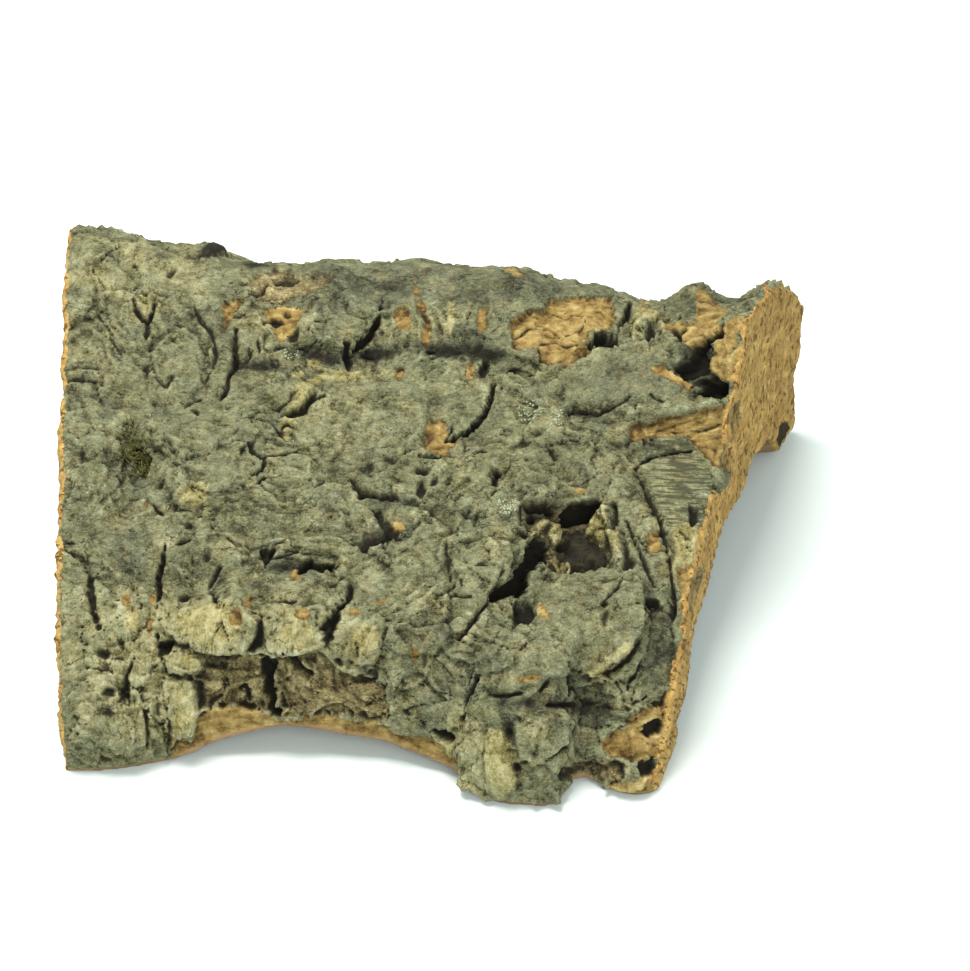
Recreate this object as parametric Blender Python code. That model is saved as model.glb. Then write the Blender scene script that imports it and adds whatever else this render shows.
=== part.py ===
"""One piece of virgin cork-oak bark, lying as it rests on a table with its weathered side up.

It is half a tube of bark: the outer side is an arch that runs along X, gentle towards -Y and steep
towards +Y, and the underside is a low hollow. Both ends are sawn, the +X end at a slant. Everything
is worked out in millimetres in the piece's own frame (X along the arch, Z up from the table) and is
scaled to metres when the mesh is made.
"""

import math

import bmesh
import bpy
from mathutils import Vector, noise

MM = 0.001

# Driving dimensions, in millimetres.
LEFT_END = ((-55.0, -70.5), (62.0, -79.5))  # the line of the left end in plan: at each Y, its X
RIGHT_END = (  # the slanting right end, bowed a little
    (-61.0, 38.8),
    (-45.0, 43.6),
    (-26.0, 47.8),
    (-4.0, 54.2),
    (12.0, 59.6),
    (61.0, 76.6),
)
STATIONS_LONG, STATIONS_ACROSS, WALL_STEPS = 54, 40, 3
EDGE_CROWDING = 0.6  # 0 spaces the stations evenly across, 1 crowds them most towards the edges
PLAN_ROUNDS = 4
TILT = math.radians(34.0)  # the slope of the drawing plane that the relief is laid out on

# The outer side: heights above the table at these shares of the way from the front edge to the back,
# for sections at equal steps from the left end to the right.
SHARES = (0.0, 0.03, 0.07, 0.15, 0.28, 0.42, 0.48, 0.54, 0.62, 0.70, 0.80, 0.90, 0.96, 1.0)
SECTIONS = (
    (7.0, 13.0, 19.0, 27.0, 36.0, 44.5, 48.0, 51.0, 55.0, 59.5, 62.0, 56.5, 44.0, 14.0),
    (6.5, 14.0, 20.5, 27.0, 35.0, 42.5, 45.0, 47.5, 51.5, 55.0, 55.0, 46.5, 34.0, 12.0),
    (6.0, 14.0, 21.0, 26.5, 33.0, 40.5, 43.0, 46.0, 51.0, 54.5, 54.5, 45.5, 32.0, 12.0),
    (5.5, 13.0, 20.0, 26.0, 32.0, 39.0, 42.0, 45.5, 49.5, 51.0, 48.5, 40.0, 30.0, 14.0),
    (4.0, 7.0, 15.0, 26.5, 32.0, 38.0, 51.0, 60.0, 60.5, 56.5, 50.5, 42.0, 36.5, 30.0),
)
# The underside: how high its hollow stands in the same five sections, and its shape across.
HOLLOW_HEIGHTS = (19.0, 24.0, 25.0, 22.0, 18.0)
HOLLOW_SHAPE = (
    (0.0, 0.0),
    (0.09, 0.0),
    (0.22, 0.34),
    (0.40, 0.85),
    (0.62, 1.0),
    (0.78, 0.84),
    (0.92, 0.0),
    (1.0, 0.0),
)

# The ragged front edge: at each X, its Y and how far its lower corner is off the table.
FRONT_EDGE = (
    (-84.0, -54.0, 0.0),
    (-65.0, -55.0, 0.0),
    (-56.0, -53.5, 0.0),
    (-50.0, -52.0, 0.4),
    (-40.0, -50.5, 4.4),
    (-28.0, -50.5, 6.4),
    (-14.0, -51.5, 4.8),
    (-6.0, -53.5, 3.2),
    (2.0, -57.0, 1.6),
    (8.0, -63.0, 0.0),
    (15.0, -64.5, 0.0),
    (21.0, -63.5, 0.0),
    (24.0, -57.5, 0.8),
    (30.0, -60.5, 0.4),
    (35.0, -62.0, 0.0),
    (39.0, -60.5, 0.0),
)
# The back edge in the same way.
BACK_EDGE = (
    (-86.0, 62.0, 0.0),
    (-60.0, 64.0, 0.0),
    (-35.0, 61.0, 2.2),
    (-5.0, 63.0, 3.0),
    (25.0, 60.0, 1.6),
    (50.0, 62.5, 0.0),
    (64.0, 62.0, 0.0),
    (80.0, 60.5, 4.0),
)
FRONT_LIFT_SHARE, BACK_LIFT_SHARE = 0.35, 0.30  # how far in from an edge its lift is felt

# The relief on the outer side, drawn on a plane that slopes up and back by TILT: u is X, v is the
# distance up that plane. Each mark is (u, v, half length, half width, turn in degrees, height).
MARKS = (
    (-17.0, 45.5, 34.0, 4.5, 1.0, -2.8),  # groove at the foot of the ridge, left half
    (22.0, 46.0, 24.0, 4.5, 4.0, -3.0),  # the same groove, right half
    (50.0, 44.5, 10.5, 8.5, -20.0, -6.5),  # deep pit beside the sawn end
    (14.5, 5.5, 14.0, 6.0, 46.0, -5.0),  # the long gully in the middle of the slope
    (26.0, 15.0, 10.5, 7.5, 0.0, -4.0),  # the pits at the gully's head
    (-25.5, 7.0, 9.0, 5.0, -14.0, -2.2),  # pit on the left of the slope
    (-60.0, 28.0, 6.0, 8.0, 0.0, -2.2),  # mossy dimple near the left end
    (5.0, 34.0, 5.0, 9.0, -20.0, -2.0),  # hooked crack under the ridge
    (-32.5, -14.0, 4.5, 9.0, 12.0, -2.6),  # fissure down the front wall
    (-32.0, -16.0, 13.0, 6.0, 0.0, -3.0),  # recess under the brow of the front wall
    (-36.0, -4.0, 24.0, 5.0, 0.0, 2.0),  # the brow itself
    (14.0, -27.0, 7.5, 9.5, 0.0, 2.4),  # knob over the front foot
    (22.5, -28.0, 4.0, 9.0, 0.0, -2.2),  # gap beside the knob
    (24.0, -5.0, 12.0, 10.0, -30.0, 2.0),  # shell-shaped plate below the gully
    (38.5, -4.0, 4.5, 14.0, 0.0, -2.4),  # low strip between that plate and the sawn end
    (15.0, 65.0, 15.0, 11.0, 0.0, 3.4),  # knuckle along the ridge
    (30.0, 62.0, 8.0, 8.0, 0.0, 1.8),  # its lower neighbour
    (33.5, 54.0, 5.0, 8.0, -30.0, -2.4),  # cleft across the ridge
    (-14.5, 52.0, 4.5, 9.0, -24.0, -2.0),  # smaller cleft across the ridge
    (-13.0, 66.0, 13.0, 8.0, 0.0, -2.0),  # saddle in the ridge
    (43.0, 60.0, 7.0, 7.0, 0.0, -2.8),  # dip in the ridge on this side of the spur
    (58.0, 61.0, 8.0, 7.0, 0.0, -3.2),  # dip between the spur and the sawn end
)
# Irregular swellings and lumps: size, height and where in the noise they are read.
SWELLINGS = (
    (26.0, 1.6, Vector((3.1, 0.0, 7.7))),
    (9.0, 0.8, Vector((0.0, 5.2, 1.3))),
)
FOOT_CLEAR = 10.0  # the relief fades out this far above the table
BACK_FADE, BACK_FADE_END = 12.0, 62.0  # the marks fade out over this much of Y, behind the ridge

BARK_COLOUR = (0.235, 0.225, 0.135, 1.0)
BARK_ROUGHNESS = 0.92


def clear_scene():
    """Removes whatever the start-up scene holds."""
    for obj in list(bpy.data.objects):
        bpy.data.objects.remove(obj)


def smooth_between(points, x, column=1):
    """The value at x of a cubic through points, flat past the first and the last."""
    if x <= points[0][0]:
        return points[0][column]
    for i in range(len(points) - 1):
        if x <= points[i + 1][0]:
            break
    else:
        return points[-1][column]
    left, right = points[i], points[i + 1]
    before, after = points[max(i - 1, 0)], points[min(i + 2, len(points) - 1)]
    width = right[0] - left[0]
    t = (x - left[0]) / width
    rise_left = width * (right[column] - before[column]) / (right[0] - before[0])
    rise_right = width * (after[column] - left[column]) / (after[0] - left[0])
    return (
        left[column] * (2 * t**3 - 3 * t**2 + 1)
        + rise_left * (t**3 - 2 * t**2 + t)
        + right[column] * (3 * t**2 - 2 * t**3)
        + rise_right * (t**3 - t**2)
    )


def section_height(along, across):
    """The outer side's height at a share of the way along the piece and across it."""
    heights = [
        (i / (len(SECTIONS) - 1), smooth_between(list(zip(SHARES, section)), across))
        for i, section in enumerate(SECTIONS)
    ]
    return smooth_between(heights, along)


def hollow_height(along, across):
    """The height of the underside's hollow at the same two shares, zero at the feet."""
    heights = [(i / (len(HOLLOW_HEIGHTS) - 1), h) for i, h in enumerate(HOLLOW_HEIGHTS)]
    return max(0.0, smooth_between(heights, along) * smooth_between(HOLLOW_SHAPE, across))


def plan_point(along, across):
    """(x, y) of a place in plan, at those shares of the way between the ends and between the edges."""
    y = FRONT_EDGE[0][1] + (BACK_EDGE[0][1] - FRONT_EDGE[0][1]) * across
    for _ in range(PLAN_ROUNDS):  # the ends are given at Y and the edges at X, so this closes in on both
        left, right = smooth_between(LEFT_END, y), smooth_between(RIGHT_END, y)
        x = left + (right - left) * along
        front, back = smooth_between(FRONT_EDGE, x), smooth_between(BACK_EDGE, x)
        y = front + (back - front) * across
    return x, y


def relief(x, y, z):
    """How far the marks and the swellings move the outer side, up or down, at a point on it."""
    u, v = x, y * math.sin(TILT) + z * math.cos(TILT)
    height = 0.0
    for mark_u, mark_v, length, width, turn, rise in MARKS:
        c, s = math.cos(math.radians(turn)), math.sin(math.radians(turn))
        du, dv = u - mark_u, v - mark_v
        distance = math.hypot((du * c + dv * s) / length, (dv * c - du * s) / width)
        if distance < 1.0:
            height += rise * (1.0 - distance**2) ** 2
    height *= min(1.0, max(0.0, (BACK_FADE_END - y) / BACK_FADE))
    for size, swell, start in SWELLINGS:
        height += swell * noise.noise(Vector((x, y, z)) / size + start)
    return height * min(1.0, max(0.0, z / FOOT_CLEAR))


def bark_point(along, across, up):
    """A corner of the block at those three shares, moved to its place on the bark.

    across is spaced closer towards the two edges, where the arch is steep. up is 0 on the underside
    and 1 on the outer side, and in between on the walls at the edges and the sawn ends.
    """
    across += EDGE_CROWDING * (0.5 - 0.5 * math.cos(math.pi * across) - across)
    x, y = plan_point(along, across)
    front_lift = smooth_between(FRONT_EDGE, x, 2) * max(0.0, 1.0 - across / FRONT_LIFT_SHARE)
    back_lift = smooth_between(BACK_EDGE, x, 2) * max(0.0, 1.0 - (1.0 - across) / BACK_LIFT_SHARE)
    lift = max(0.0, front_lift + back_lift)
    top = section_height(along, across) + lift
    top += relief(x, y, top)
    low = lift + hollow_height(along, across)
    return Vector((x, y, low + (top - low) * up))


def bark_mesh():
    """The whole piece: a flat grid thickened to a block, whose corners are then moved into place."""
    mesh = bpy.data.meshes.new("bark")
    bm = bmesh.new()
    bmesh.ops.create_grid(bm, x_segments=STATIONS_LONG, y_segments=STATIONS_ACROSS, size=1.0)
    bmesh.ops.reverse_faces(bm, faces=bm.faces)
    raised = bmesh.ops.extrude_face_region(bm, geom=bm.faces[:], use_keep_orig=True)["geom"]
    raised_corners = [item for item in raised if isinstance(item, bmesh.types.BMVert)]
    bmesh.ops.translate(bm, verts=raised_corners, vec=(0.0, 0.0, 1.0))
    upright = [e for e in bm.edges if e.verts[0].co.z != e.verts[1].co.z]
    bmesh.ops.subdivide_edges(bm, edges=upright, cuts=WALL_STEPS - 1, use_grid_fill=True)
    for vertex in bm.verts:
        along, across, up = (vertex.co.x + 1.0) / 2.0, (vertex.co.y + 1.0) / 2.0, vertex.co.z
        vertex.co = bark_point(along, across, up) * MM
    bmesh.ops.recalc_face_normals(bm, faces=bm.faces)
    centre_on_table(bm)
    bm.to_mesh(mesh)
    bm.free()
    mesh.shade_smooth()
    return mesh


def centre_on_table(bm):
    """Slides the piece so that the origin is under the middle of its box."""
    xs, ys = [v.co.x for v in bm.verts], [v.co.y for v in bm.verts]
    middle = Vector(((min(xs) + max(xs)) / 2.0, (min(ys) + max(ys)) / 2.0, 0.0))
    bmesh.ops.translate(bm, verts=bm.verts, vec=-middle)


def bark_material():
    """Weathered cork, grey-green and dull."""
    material = bpy.data.materials.new("weathered_cork")
    material.use_nodes = True
    shader = material.node_tree.nodes["Principled BSDF"]
    shader.inputs["Base Color"].default_value = BARK_COLOUR
    shader.inputs["Roughness"].default_value = BARK_ROUGHNESS
    shader.inputs["Metallic"].default_value = 0.0
    return material


def main():
    """Builds the one object, bark."""
    clear_scene()
    bark = bpy.data.objects.new("bark", bark_mesh())
    bark.data.materials.append(bark_material())
    bpy.context.scene.collection.objects.link(bark)


main()
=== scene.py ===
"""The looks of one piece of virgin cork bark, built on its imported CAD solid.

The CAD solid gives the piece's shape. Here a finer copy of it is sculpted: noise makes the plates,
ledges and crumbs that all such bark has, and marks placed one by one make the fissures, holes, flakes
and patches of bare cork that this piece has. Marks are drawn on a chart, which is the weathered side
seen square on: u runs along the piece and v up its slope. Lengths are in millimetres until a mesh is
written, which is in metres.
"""

import logging
import math
from abc import ABC, abstractmethod
from collections.abc import Callable, Sequence
from dataclasses import dataclass, field
from enum import Enum
from functools import partial

import bmesh
import bpy
import numpy as np
from mathutils import Matrix, Vector, noise
from mathutils.bvhtree import BVHTree


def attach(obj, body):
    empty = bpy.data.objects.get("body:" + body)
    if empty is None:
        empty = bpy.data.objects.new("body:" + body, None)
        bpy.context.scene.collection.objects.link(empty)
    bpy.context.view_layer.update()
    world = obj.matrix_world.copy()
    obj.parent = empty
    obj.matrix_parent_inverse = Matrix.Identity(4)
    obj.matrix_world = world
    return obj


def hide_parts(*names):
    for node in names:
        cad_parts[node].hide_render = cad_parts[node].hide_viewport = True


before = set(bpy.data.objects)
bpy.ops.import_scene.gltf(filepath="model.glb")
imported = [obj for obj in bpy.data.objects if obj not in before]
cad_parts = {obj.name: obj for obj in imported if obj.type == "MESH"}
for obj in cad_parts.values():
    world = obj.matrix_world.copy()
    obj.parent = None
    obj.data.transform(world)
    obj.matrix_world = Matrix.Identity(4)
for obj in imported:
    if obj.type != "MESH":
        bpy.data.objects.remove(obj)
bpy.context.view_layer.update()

LOG = logging.getLogger("bark")

NODE = "bark"
BODY = "root"

MM = 0.001
FULL_TURN = 2 * math.pi
UP = Vector((0, 0, 1))
FAR_OUTSIDE = -4.0  # the value of a mask a long way out of it, in mm
NOISE_SEED = 3  # of the vector noise, which is otherwise shifted by the time of day
FISSURE_SLIMMING = 0.55  # the sides' slope adds the rest of the width that shows
CHART_SLOPE = math.radians(34)
SINE, COSINE = math.sin(CHART_SLOPE), math.cos(CHART_SLOPE)
CHART_ORIGIN = (0.63, 0.02)
END_LINE_RIGHT = ((-60.7, 40.3), (-44.7, 45.1), (-25.7, 49.3), (-3.7, 55.7), (12.3, 61.1), (61.3, 78.0))
END_LINE_LEFT = ((-54.7, -69.0), (62.3, -78.0))  # both ends' lines are rows of y and x
GRAIN_AXIS = (2.0, -45.0)  # y and z of the line that the growth rings are drawn round

Path = Sequence[tuple[float, float]]
Stops = tuple[tuple[float, str], ...]
Socket = bpy.types.NodeSocket


class Mask(Enum):
    """The kinds of surface that a mark can bare, each with its own mesh attribute."""

    TORN = "torn"
    # fissures and holes, painted near black: painted shade in them, with some dirt
    DARK = "dark"
    BROWN = "brown"
    PALE = "pale"
    STRIPED = "striped"
    ENCLOSED = "enclosed"  # skin that the bark grew round, seen in the sawn face
    PLAIN = "plain"


def smooth_step(value: np.ndarray, low: float, high: float) -> np.ndarray:
    """A smooth ramp from 0 where value is low to 1 where it is high."""
    t = np.clip((value - low) / (high - low), 0, 1)
    return t * t * (3 - 2 * t)


def sample(function: Callable, points: np.ndarray, *settings: float) -> np.ndarray:
    """The value of a noise function at each row of points."""
    return np.fromiter((function(p, *settings) for p in points.tolist()), float, len(points))


def sample_vector(points: np.ndarray) -> np.ndarray:
    """A smooth random vector at each row of points."""
    return np.array([noise.noise_vector(p)[:] for p in points.tolist()])


def path_distance(uv: np.ndarray, path: Path) -> tuple[np.ndarray, np.ndarray]:
    """Measures each place's distance from a path.

    Args:
        uv: places on the chart, in rows.
        path: the path's corners.

    Returns:
        The distance of each, and at what share of the path's length it is nearest.
    """
    corners = np.array(path, float)
    steps = np.diff(corners, axis=0)
    lengths = np.linalg.norm(steps, axis=1)
    starts = np.concatenate(([0], np.cumsum(lengths)[:-1]))
    offset = uv[:, None, :] - corners[None, :-1, :]
    t = np.clip((offset * steps).sum(-1) / lengths**2, 0, 1)
    gap = np.linalg.norm(offset - t[..., None] * steps, axis=-1)
    best = gap.argmin(axis=1)
    rows = np.arange(len(uv))
    run = (starts[best] + t[rows, best] * lengths[best]) / lengths.sum()
    return gap[rows, best], run


def inside_outline(uv: np.ndarray, outline: Path) -> np.ndarray:
    """Measures how far each place is inside a closed outline.

    Args:
        uv: places on the chart, in rows.
        outline: its corners.

    Returns:
        The distance in mm, negative outside.
    """
    corners = np.array(outline, float)
    following = np.roll(corners, -1, axis=0)
    distance, _ = path_distance(uv, [*outline, outline[0]])
    u, v = uv[:, 0:1], uv[:, 1:2]
    spans = (corners[:, 1] > v) != (following[:, 1] > v)
    rise = np.where(following[:, 1] == corners[:, 1], 1, following[:, 1] - corners[:, 1])
    crossing = (following[:, 0] - corners[:, 0]) * (v - corners[:, 1]) / rise + corners[:, 0]
    odd = (spans & (u < crossing)).sum(axis=1) % 2 == 1
    return np.where(odd, distance, -distance)


@dataclass(frozen=True)
class Chart:
    """A flat drawing laid over one side of the piece.

    Args:
        along: the way that u runs.
        up: the way that v runs.
        toward: the way that the drawing faces.
        origin: the place that is (0, 0) on it.
        edge: how square on to it a surface must be to show at all, and fully.
    """

    along: tuple[float, float, float]
    up: tuple[float, float, float]
    toward: tuple[float, float, float]
    origin: tuple[float, float] = (0, 0)
    edge: tuple[float, float] = (-0.02, 0.16)

    def places(self, points: np.ndarray) -> np.ndarray:
        """The (u, v) of each point."""
        return np.stack((points @ np.array(self.along), points @ np.array(self.up)), axis=1) - self.origin

    def facing(self, normals: np.ndarray) -> np.ndarray:
        """1 where a surface faces the chart, 0 where it faces away."""
        return smooth_step(normals @ np.array(self.toward), *self.edge)

    def point(self, u: float, v: float, out: float) -> Vector:
        """The point at (u, v) that is the distance out above the chart's plane."""
        place = Vector(self.along) * (u + self.origin[0]) + Vector(self.up) * (v + self.origin[1])
        return place + Vector(self.toward) * out


FRONT = Chart((1, 0, 0), (0, SINE, COSINE), (0, -COSINE, SINE), CHART_ORIGIN)
BACK = Chart((-1, 0, 0), (0, 0, 1), (0, 1, 0), edge=(0.55, 0.75))


@dataclass(frozen=True)
class Mark(ABC):
    """Something on the bark at a place of its own.

    Args:
        mask: what it bares.
        level: how far it stands above the skin, or below it where negative.
    """

    mask: Mask
    level: float

    REACH = 3.0
    EDGE = 0.35

    @abstractmethod
    def corners(self) -> np.ndarray:
        """Points of the chart that the mark spans."""

    @abstractmethod
    def inside(self, uv: np.ndarray) -> np.ndarray:
        """How far each place is inside the mark, in mm, negative outside it."""

    @abstractmethod
    def raggedness(self) -> float:
        """How much of the wobble its edge takes: less if small, or it would be broken up."""

    def near(self, uv: np.ndarray) -> np.ndarray:
        """Which rows of uv the mark could touch."""
        corners = self.corners()
        low, high = corners.min(axis=0) - self.REACH, corners.max(axis=0) + self.REACH
        return np.flatnonzero(((uv > low) & (uv < high)).all(axis=1))

    def height(self, depth_in: np.ndarray, uv: np.ndarray) -> np.ndarray:
        """How much the mark lifts each place that is depth_in inside it."""
        return self.level * smooth_step(depth_in, -self.EDGE, self.EDGE)


@dataclass(frozen=True)
class Trace(Mark):
    """A fissure or a ridge along a path, which narrows towards its ends."""

    path: Path
    width: float

    NARROWEST = 0.35
    ENDS = (0.02, 0.98)  # it isn't quite closed where it ends

    def corners(self) -> np.ndarray:
        """The path's corners."""
        return np.array(self.path, float)

    def inside(self, uv: np.ndarray) -> np.ndarray:
        """Half the width where the place is on the path, and less away from it."""
        distance, run = path_distance(uv, self.path)
        swell = self.NARROWEST + (1 - self.NARROWEST) * np.sqrt(np.sin(np.pi * np.clip(run, *self.ENDS)))
        return self.width / 2 * swell - distance

    def raggedness(self) -> float:
        """A share that grows with the width."""
        return min(0.8, 0.2 + 0.4 * self.width)

    def height(self, depth_in: np.ndarray, uv: np.ndarray) -> np.ndarray:
        """A groove or ridge with steep sides."""
        return self.level * smooth_step(depth_in, -0.25, 0.45 * self.width)


@dataclass(frozen=True)
class Spot(Mark):
    """An oval place, such as a pit, a knob or a fleck."""

    u: float
    v: float
    length: float
    breadth: float
    turn: float = 0

    def corners(self) -> np.ndarray:
        """The corners of a square round the oval."""
        reach = max(self.length, self.breadth)
        return np.array([(self.u - reach, self.v - reach), (self.u + reach, self.v + reach)])

    def radius(self, uv: np.ndarray) -> np.ndarray:
        """The distance from the middle, 1 on the oval's edge."""
        turn = math.radians(self.turn)
        du, dv = uv[:, 0] - self.u, uv[:, 1] - self.v
        along = (du * math.cos(turn) + dv * math.sin(turn)) / self.length
        across = (dv * math.cos(turn) - du * math.sin(turn)) / self.breadth
        return np.hypot(along, across)

    def inside(self, uv: np.ndarray) -> np.ndarray:
        """The distance inside the oval's edge."""
        return (1 - self.radius(uv)) * min(self.length, self.breadth)

    def raggedness(self) -> float:
        """A share that grows with the size."""
        return min(1, 0.8 * min(self.length, self.breadth))

    def height(self, depth_in: np.ndarray, uv: np.ndarray) -> np.ndarray:
        """A bowl or a dome."""
        return self.level * smooth_step(depth_in, -0.3, 0.6 * min(self.length, self.breadth))


@dataclass(frozen=True)
class Patch(Mark):
    """A place with an outline of its own, such as a broken plate or a bared patch.

    Args:
        outline: its corners.
        hinge: where given, the patch rises from the first of these points to the second.
    """

    outline: Path
    hinge: Path = ()

    def corners(self) -> np.ndarray:
        """The outline's corners."""
        return np.array(self.outline, float)

    def inside(self, uv: np.ndarray) -> np.ndarray:
        """The distance inside the outline."""
        return inside_outline(uv, self.outline)

    def raggedness(self) -> float:
        """A share that grows with the breadth."""
        return min(1, 0.3 * float(np.ptp(self.corners(), axis=0).min()))

    def height(self, depth_in: np.ndarray, uv: np.ndarray) -> np.ndarray:
        """Raises the patch to its level, with a sharp edge.

        Args:
            depth_in: how far each place is inside the outline.
            uv: the places, which a patch with a hinge is tilted by.

        Returns:
            How much each place is lifted.
        """
        height = super().height(depth_in, uv)
        if self.hinge:
            start, end = np.array(self.hinge, float)
            height = height * np.clip((uv - start) @ (end - start) / ((end - start) ** 2).sum(), 0, 1.1)
        return height


@dataclass(frozen=True)
class Rings(Spot):
    """Ledges in rings, as the bark has round its bosses."""

    spacing: float = 1.6

    def height(self, depth_in: np.ndarray, uv: np.ndarray) -> np.ndarray:
        """A ledge at each step out from the middle."""
        out = self.radius(uv) * min(self.length, self.breadth) / self.spacing
        ledge = out - np.floor(out)
        return self.level * (0.5 - ledge + smooth_step(ledge, 0.82, 1)) * smooth_step(depth_in, 0, 2)


def fissures(*rows: tuple[float, float, Path]) -> list[Mark]:
    """Dark fissures from rows of width, depth and path."""
    return [Trace(Mask.DARK, -depth, path, FISSURE_SLIMMING * width) for width, depth, path in rows]


def spots(mask: Mask, *rows: tuple[float, ...]) -> list[Mark]:
    """Spots of one kind from rows of u, v, length, breadth, turn and level."""
    return [Spot(mask, level, u, v, length, breadth, turn) for u, v, length, breadth, turn, level in rows]


def patches(mask: Mask, *rows: tuple) -> list[Mark]:
    """Patches of one kind from rows of level, outline and, where the patch tilts, its hinge."""
    return [Patch(mask, *row) for row in rows]


PLATES = patches(
    Mask.PLAIN,
    # the shell-shaped plate below the gully, lifted along its lower right edge
    (2.3, ((15.4, -5.9), (20, 0.3), (24.7, 1.1), (31.6, 3.8), (36.7, 3.4), (36.9, -2.5), (34.9, -6.9), (32.7, -9.6),
        (28.2, -12.4), (22.6, -10.4), (22.1, -12.1), (18, -12.9), (11.7, -14.7), (8.1, -12.1), (5.4, -8.6),
        (8.5, -5)), ((14, 0), (31, -9))),
    # the smooth grey plate left of the deep pit
    (0.7, ((24.7, 45.5), (30, 49), (35, 49.6), (41, 50.4), (44.2, 49), (44, 46), (46, 43), (50, 39.5), (53, 37.5),
        (45, 36), (36, 35.4), (30, 37.5), (26, 38), (20, 42))),
    # the brow over the front hollow, left of its fissure
    (2.4, ((-54, 1), (-45, 1), (-37, 1), (-33.6, -3), (-33.7, -5.5), (-35.6, -8.1), (-39.6, -8.7), (-43.4, -8.3),
        (-46, -7.2), (-49, -5), (-54, -4)), ((-42, 3), (-41, -7))),
    # and right of it
    (1.9, ((-32.6, -2), (-31.4, -8), (-28, -8.8), (-25, -8.2), (-21, -6.8), (-20, -3), (-22, 1), (-30, 2)), ((-27, 3),
        (-26, -7))),
    (1.3, ((-52, -7.8), (-46, -7.8), (-43.3, -9.2), (-43.7, -11.6), (-47.6, -12.7), (-49.8, -12.2), (-51, -9))),
    (1.1, ((-51, -13.4), (-45, -13.4), (-44.8, -19), (-45.6, -24), (-50, -24), (-52, -20), (-51.6, -15))),
    (0.9, ((-61, -9), (-56, -8), (-53, -9), (-53.5, -14), (-56, -15), (-61, -13))),
    (1, ((-60, -18), (-53, -17), (-52.6, -24), (-58, -27), (-63, -25))),
    # the two blocks over the front foot
    (1.3, ((13.2, -20.4), (16, -19), (20, -17.8), (22, -18.2), (22.8, -20.5), (22.4, -24), (20, -26.4), (18.6, -27.6),
        (16.4, -28), (14.4, -26.6), (13.4, -23.6))),
    (0.8, ((6.7, -15.7), (9.4, -16.5), (11.2, -20), (12.1, -24.5), (13.7, -30.9), (13.3, -37), (9, -38), (5, -33),
        (3.6, -26.1), (3.6, -21.4))),
    (0.8, ((-63, 48), (-58, 50), (-52, 55), (-50, 57), (-53, 62), (-60, 61), (-64, 58)), ((-62, 60), (-53, 52))),
    (0.9, ((-57, 38), (-49.6, 38), (-47.4, 42), (-47.2, 47), (-49, 52), (-54, 53.5), (-57, 49), (-58, 43))),
    (0.8, ((-46, 39), (-43.4, 40), (-42, 45), (-42, 51), (-44.5, 53), (-46.6, 49))),
    (0.8, ((-34, 33), (-30, 36), (-26.5, 36.6), (-24, 40), (-17, 43), (-9, 43), (-3, 40), (-3, 33), (-9, 27),
        (-20, 25), (-30, 26)), ((-28, 43), (-12, 30))),
    (0.8, ((12, 27), (20, 32), (28, 34.5), (35, 33), (35.6, 26), (30, 21), (22, 20.5), (14, 21))),
    (0.7, ((-13, 29), (-4, 28), (3, 27), (9, 26), (10, 21), (4, 17), (-3, 18), (-9, 20.5), (-14, 24))),
    (0.9, ((-16, 3), (-12, 9.5), (-3, 10.5), (0.4, 6), (-1, 0), (-7, -4), (-14, -4)), ((-15, 8), (-4, -3))),
    (0.9, ((1, 9.8), (8, 12), (14, 11), (12, 5.5), (8.6, 2.6), (2, 2.4)), ((0, 2), (10, 10))),
    (0.8, ((-31, 12), (-22, 12.5), (-15, 11), (-18, 5.5), (-20, 10), (-27, 10.6))),
    (0.8, ((-52, 31), (-42, 30), (-39, 24), (-42, 18), (-50, 19), (-54, 24)), ((-42, 30), (-50, 20))),
    (0.8, ((-56, 16), (-48, 17.5), (-43, 15), (-44, 8), (-50, 7), (-54, 11))),
)
LEDGES = [
    Trace(Mask.PLAIN, -1.2, ((-31, 51.4), (-26, 48.6), (-19.6, 47.4), (-12, 48), (-6, 50.6)), 5.4),
    Trace(Mask.PLAIN, -1, ((-6, 50.2), (0, 48.4), (6, 47.4), (11, 46.4)), 4.6),
    Trace(Mask.PLAIN, -0.9, ((8.6, -15.2), (12, -16.5), (18, -17), (22, -17.4), (30, -19), (34, -20.4)), 4.2),
    Trace(Mask.PLAIN, -0.8, ((11.2, -17), (12.3, -21), (12.4, -25), (13.6, -28.6), (14.6, -33)), 2.6),
    Trace(Mask.PLAIN, -1, ((-41, 46), (-37, 45.8), (-33, 45.8)), 3),
    Trace(Mask.PLAIN, -0.9, ((-58, 22), (-62, 12), (-60, 8), (-54, 4)), 5),
    Rings(Mask.PLAIN, 0.45, -52, 44.5, 9, 8, 70, 2.1),
    Rings(Mask.PLAIN, 0.5, 43, 42.5, 4, 3.4, 0, 1.3),
    Trace(Mask.PLAIN, -0.6, ((8.6, -20), (8, -26), (8.6, -33)), 1.2),
    Trace(Mask.PLAIN, -0.6, ((17.6, -21), (17, -26)), 1),
    Rings(Mask.PLAIN, 0.45, -25, 4, 12, 9, 0, 2.3),
    Rings(Mask.PLAIN, 0.6, 4, -11, 9, 8, 0, 1.7),
    Rings(Mask.PLAIN, 0.45, 24, -3, 14, 10, -30, 2),
    Rings(Mask.PLAIN, 0.6, -12, 33, 13, 8, 10, 2.3),
    Rings(Mask.PLAIN, 0.6, -58, 24, 10, 12, 0, 2),
    Rings(Mask.PLAIN, 0.5, 20, 27, 10, 7, 0, 1.8),
]
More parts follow.
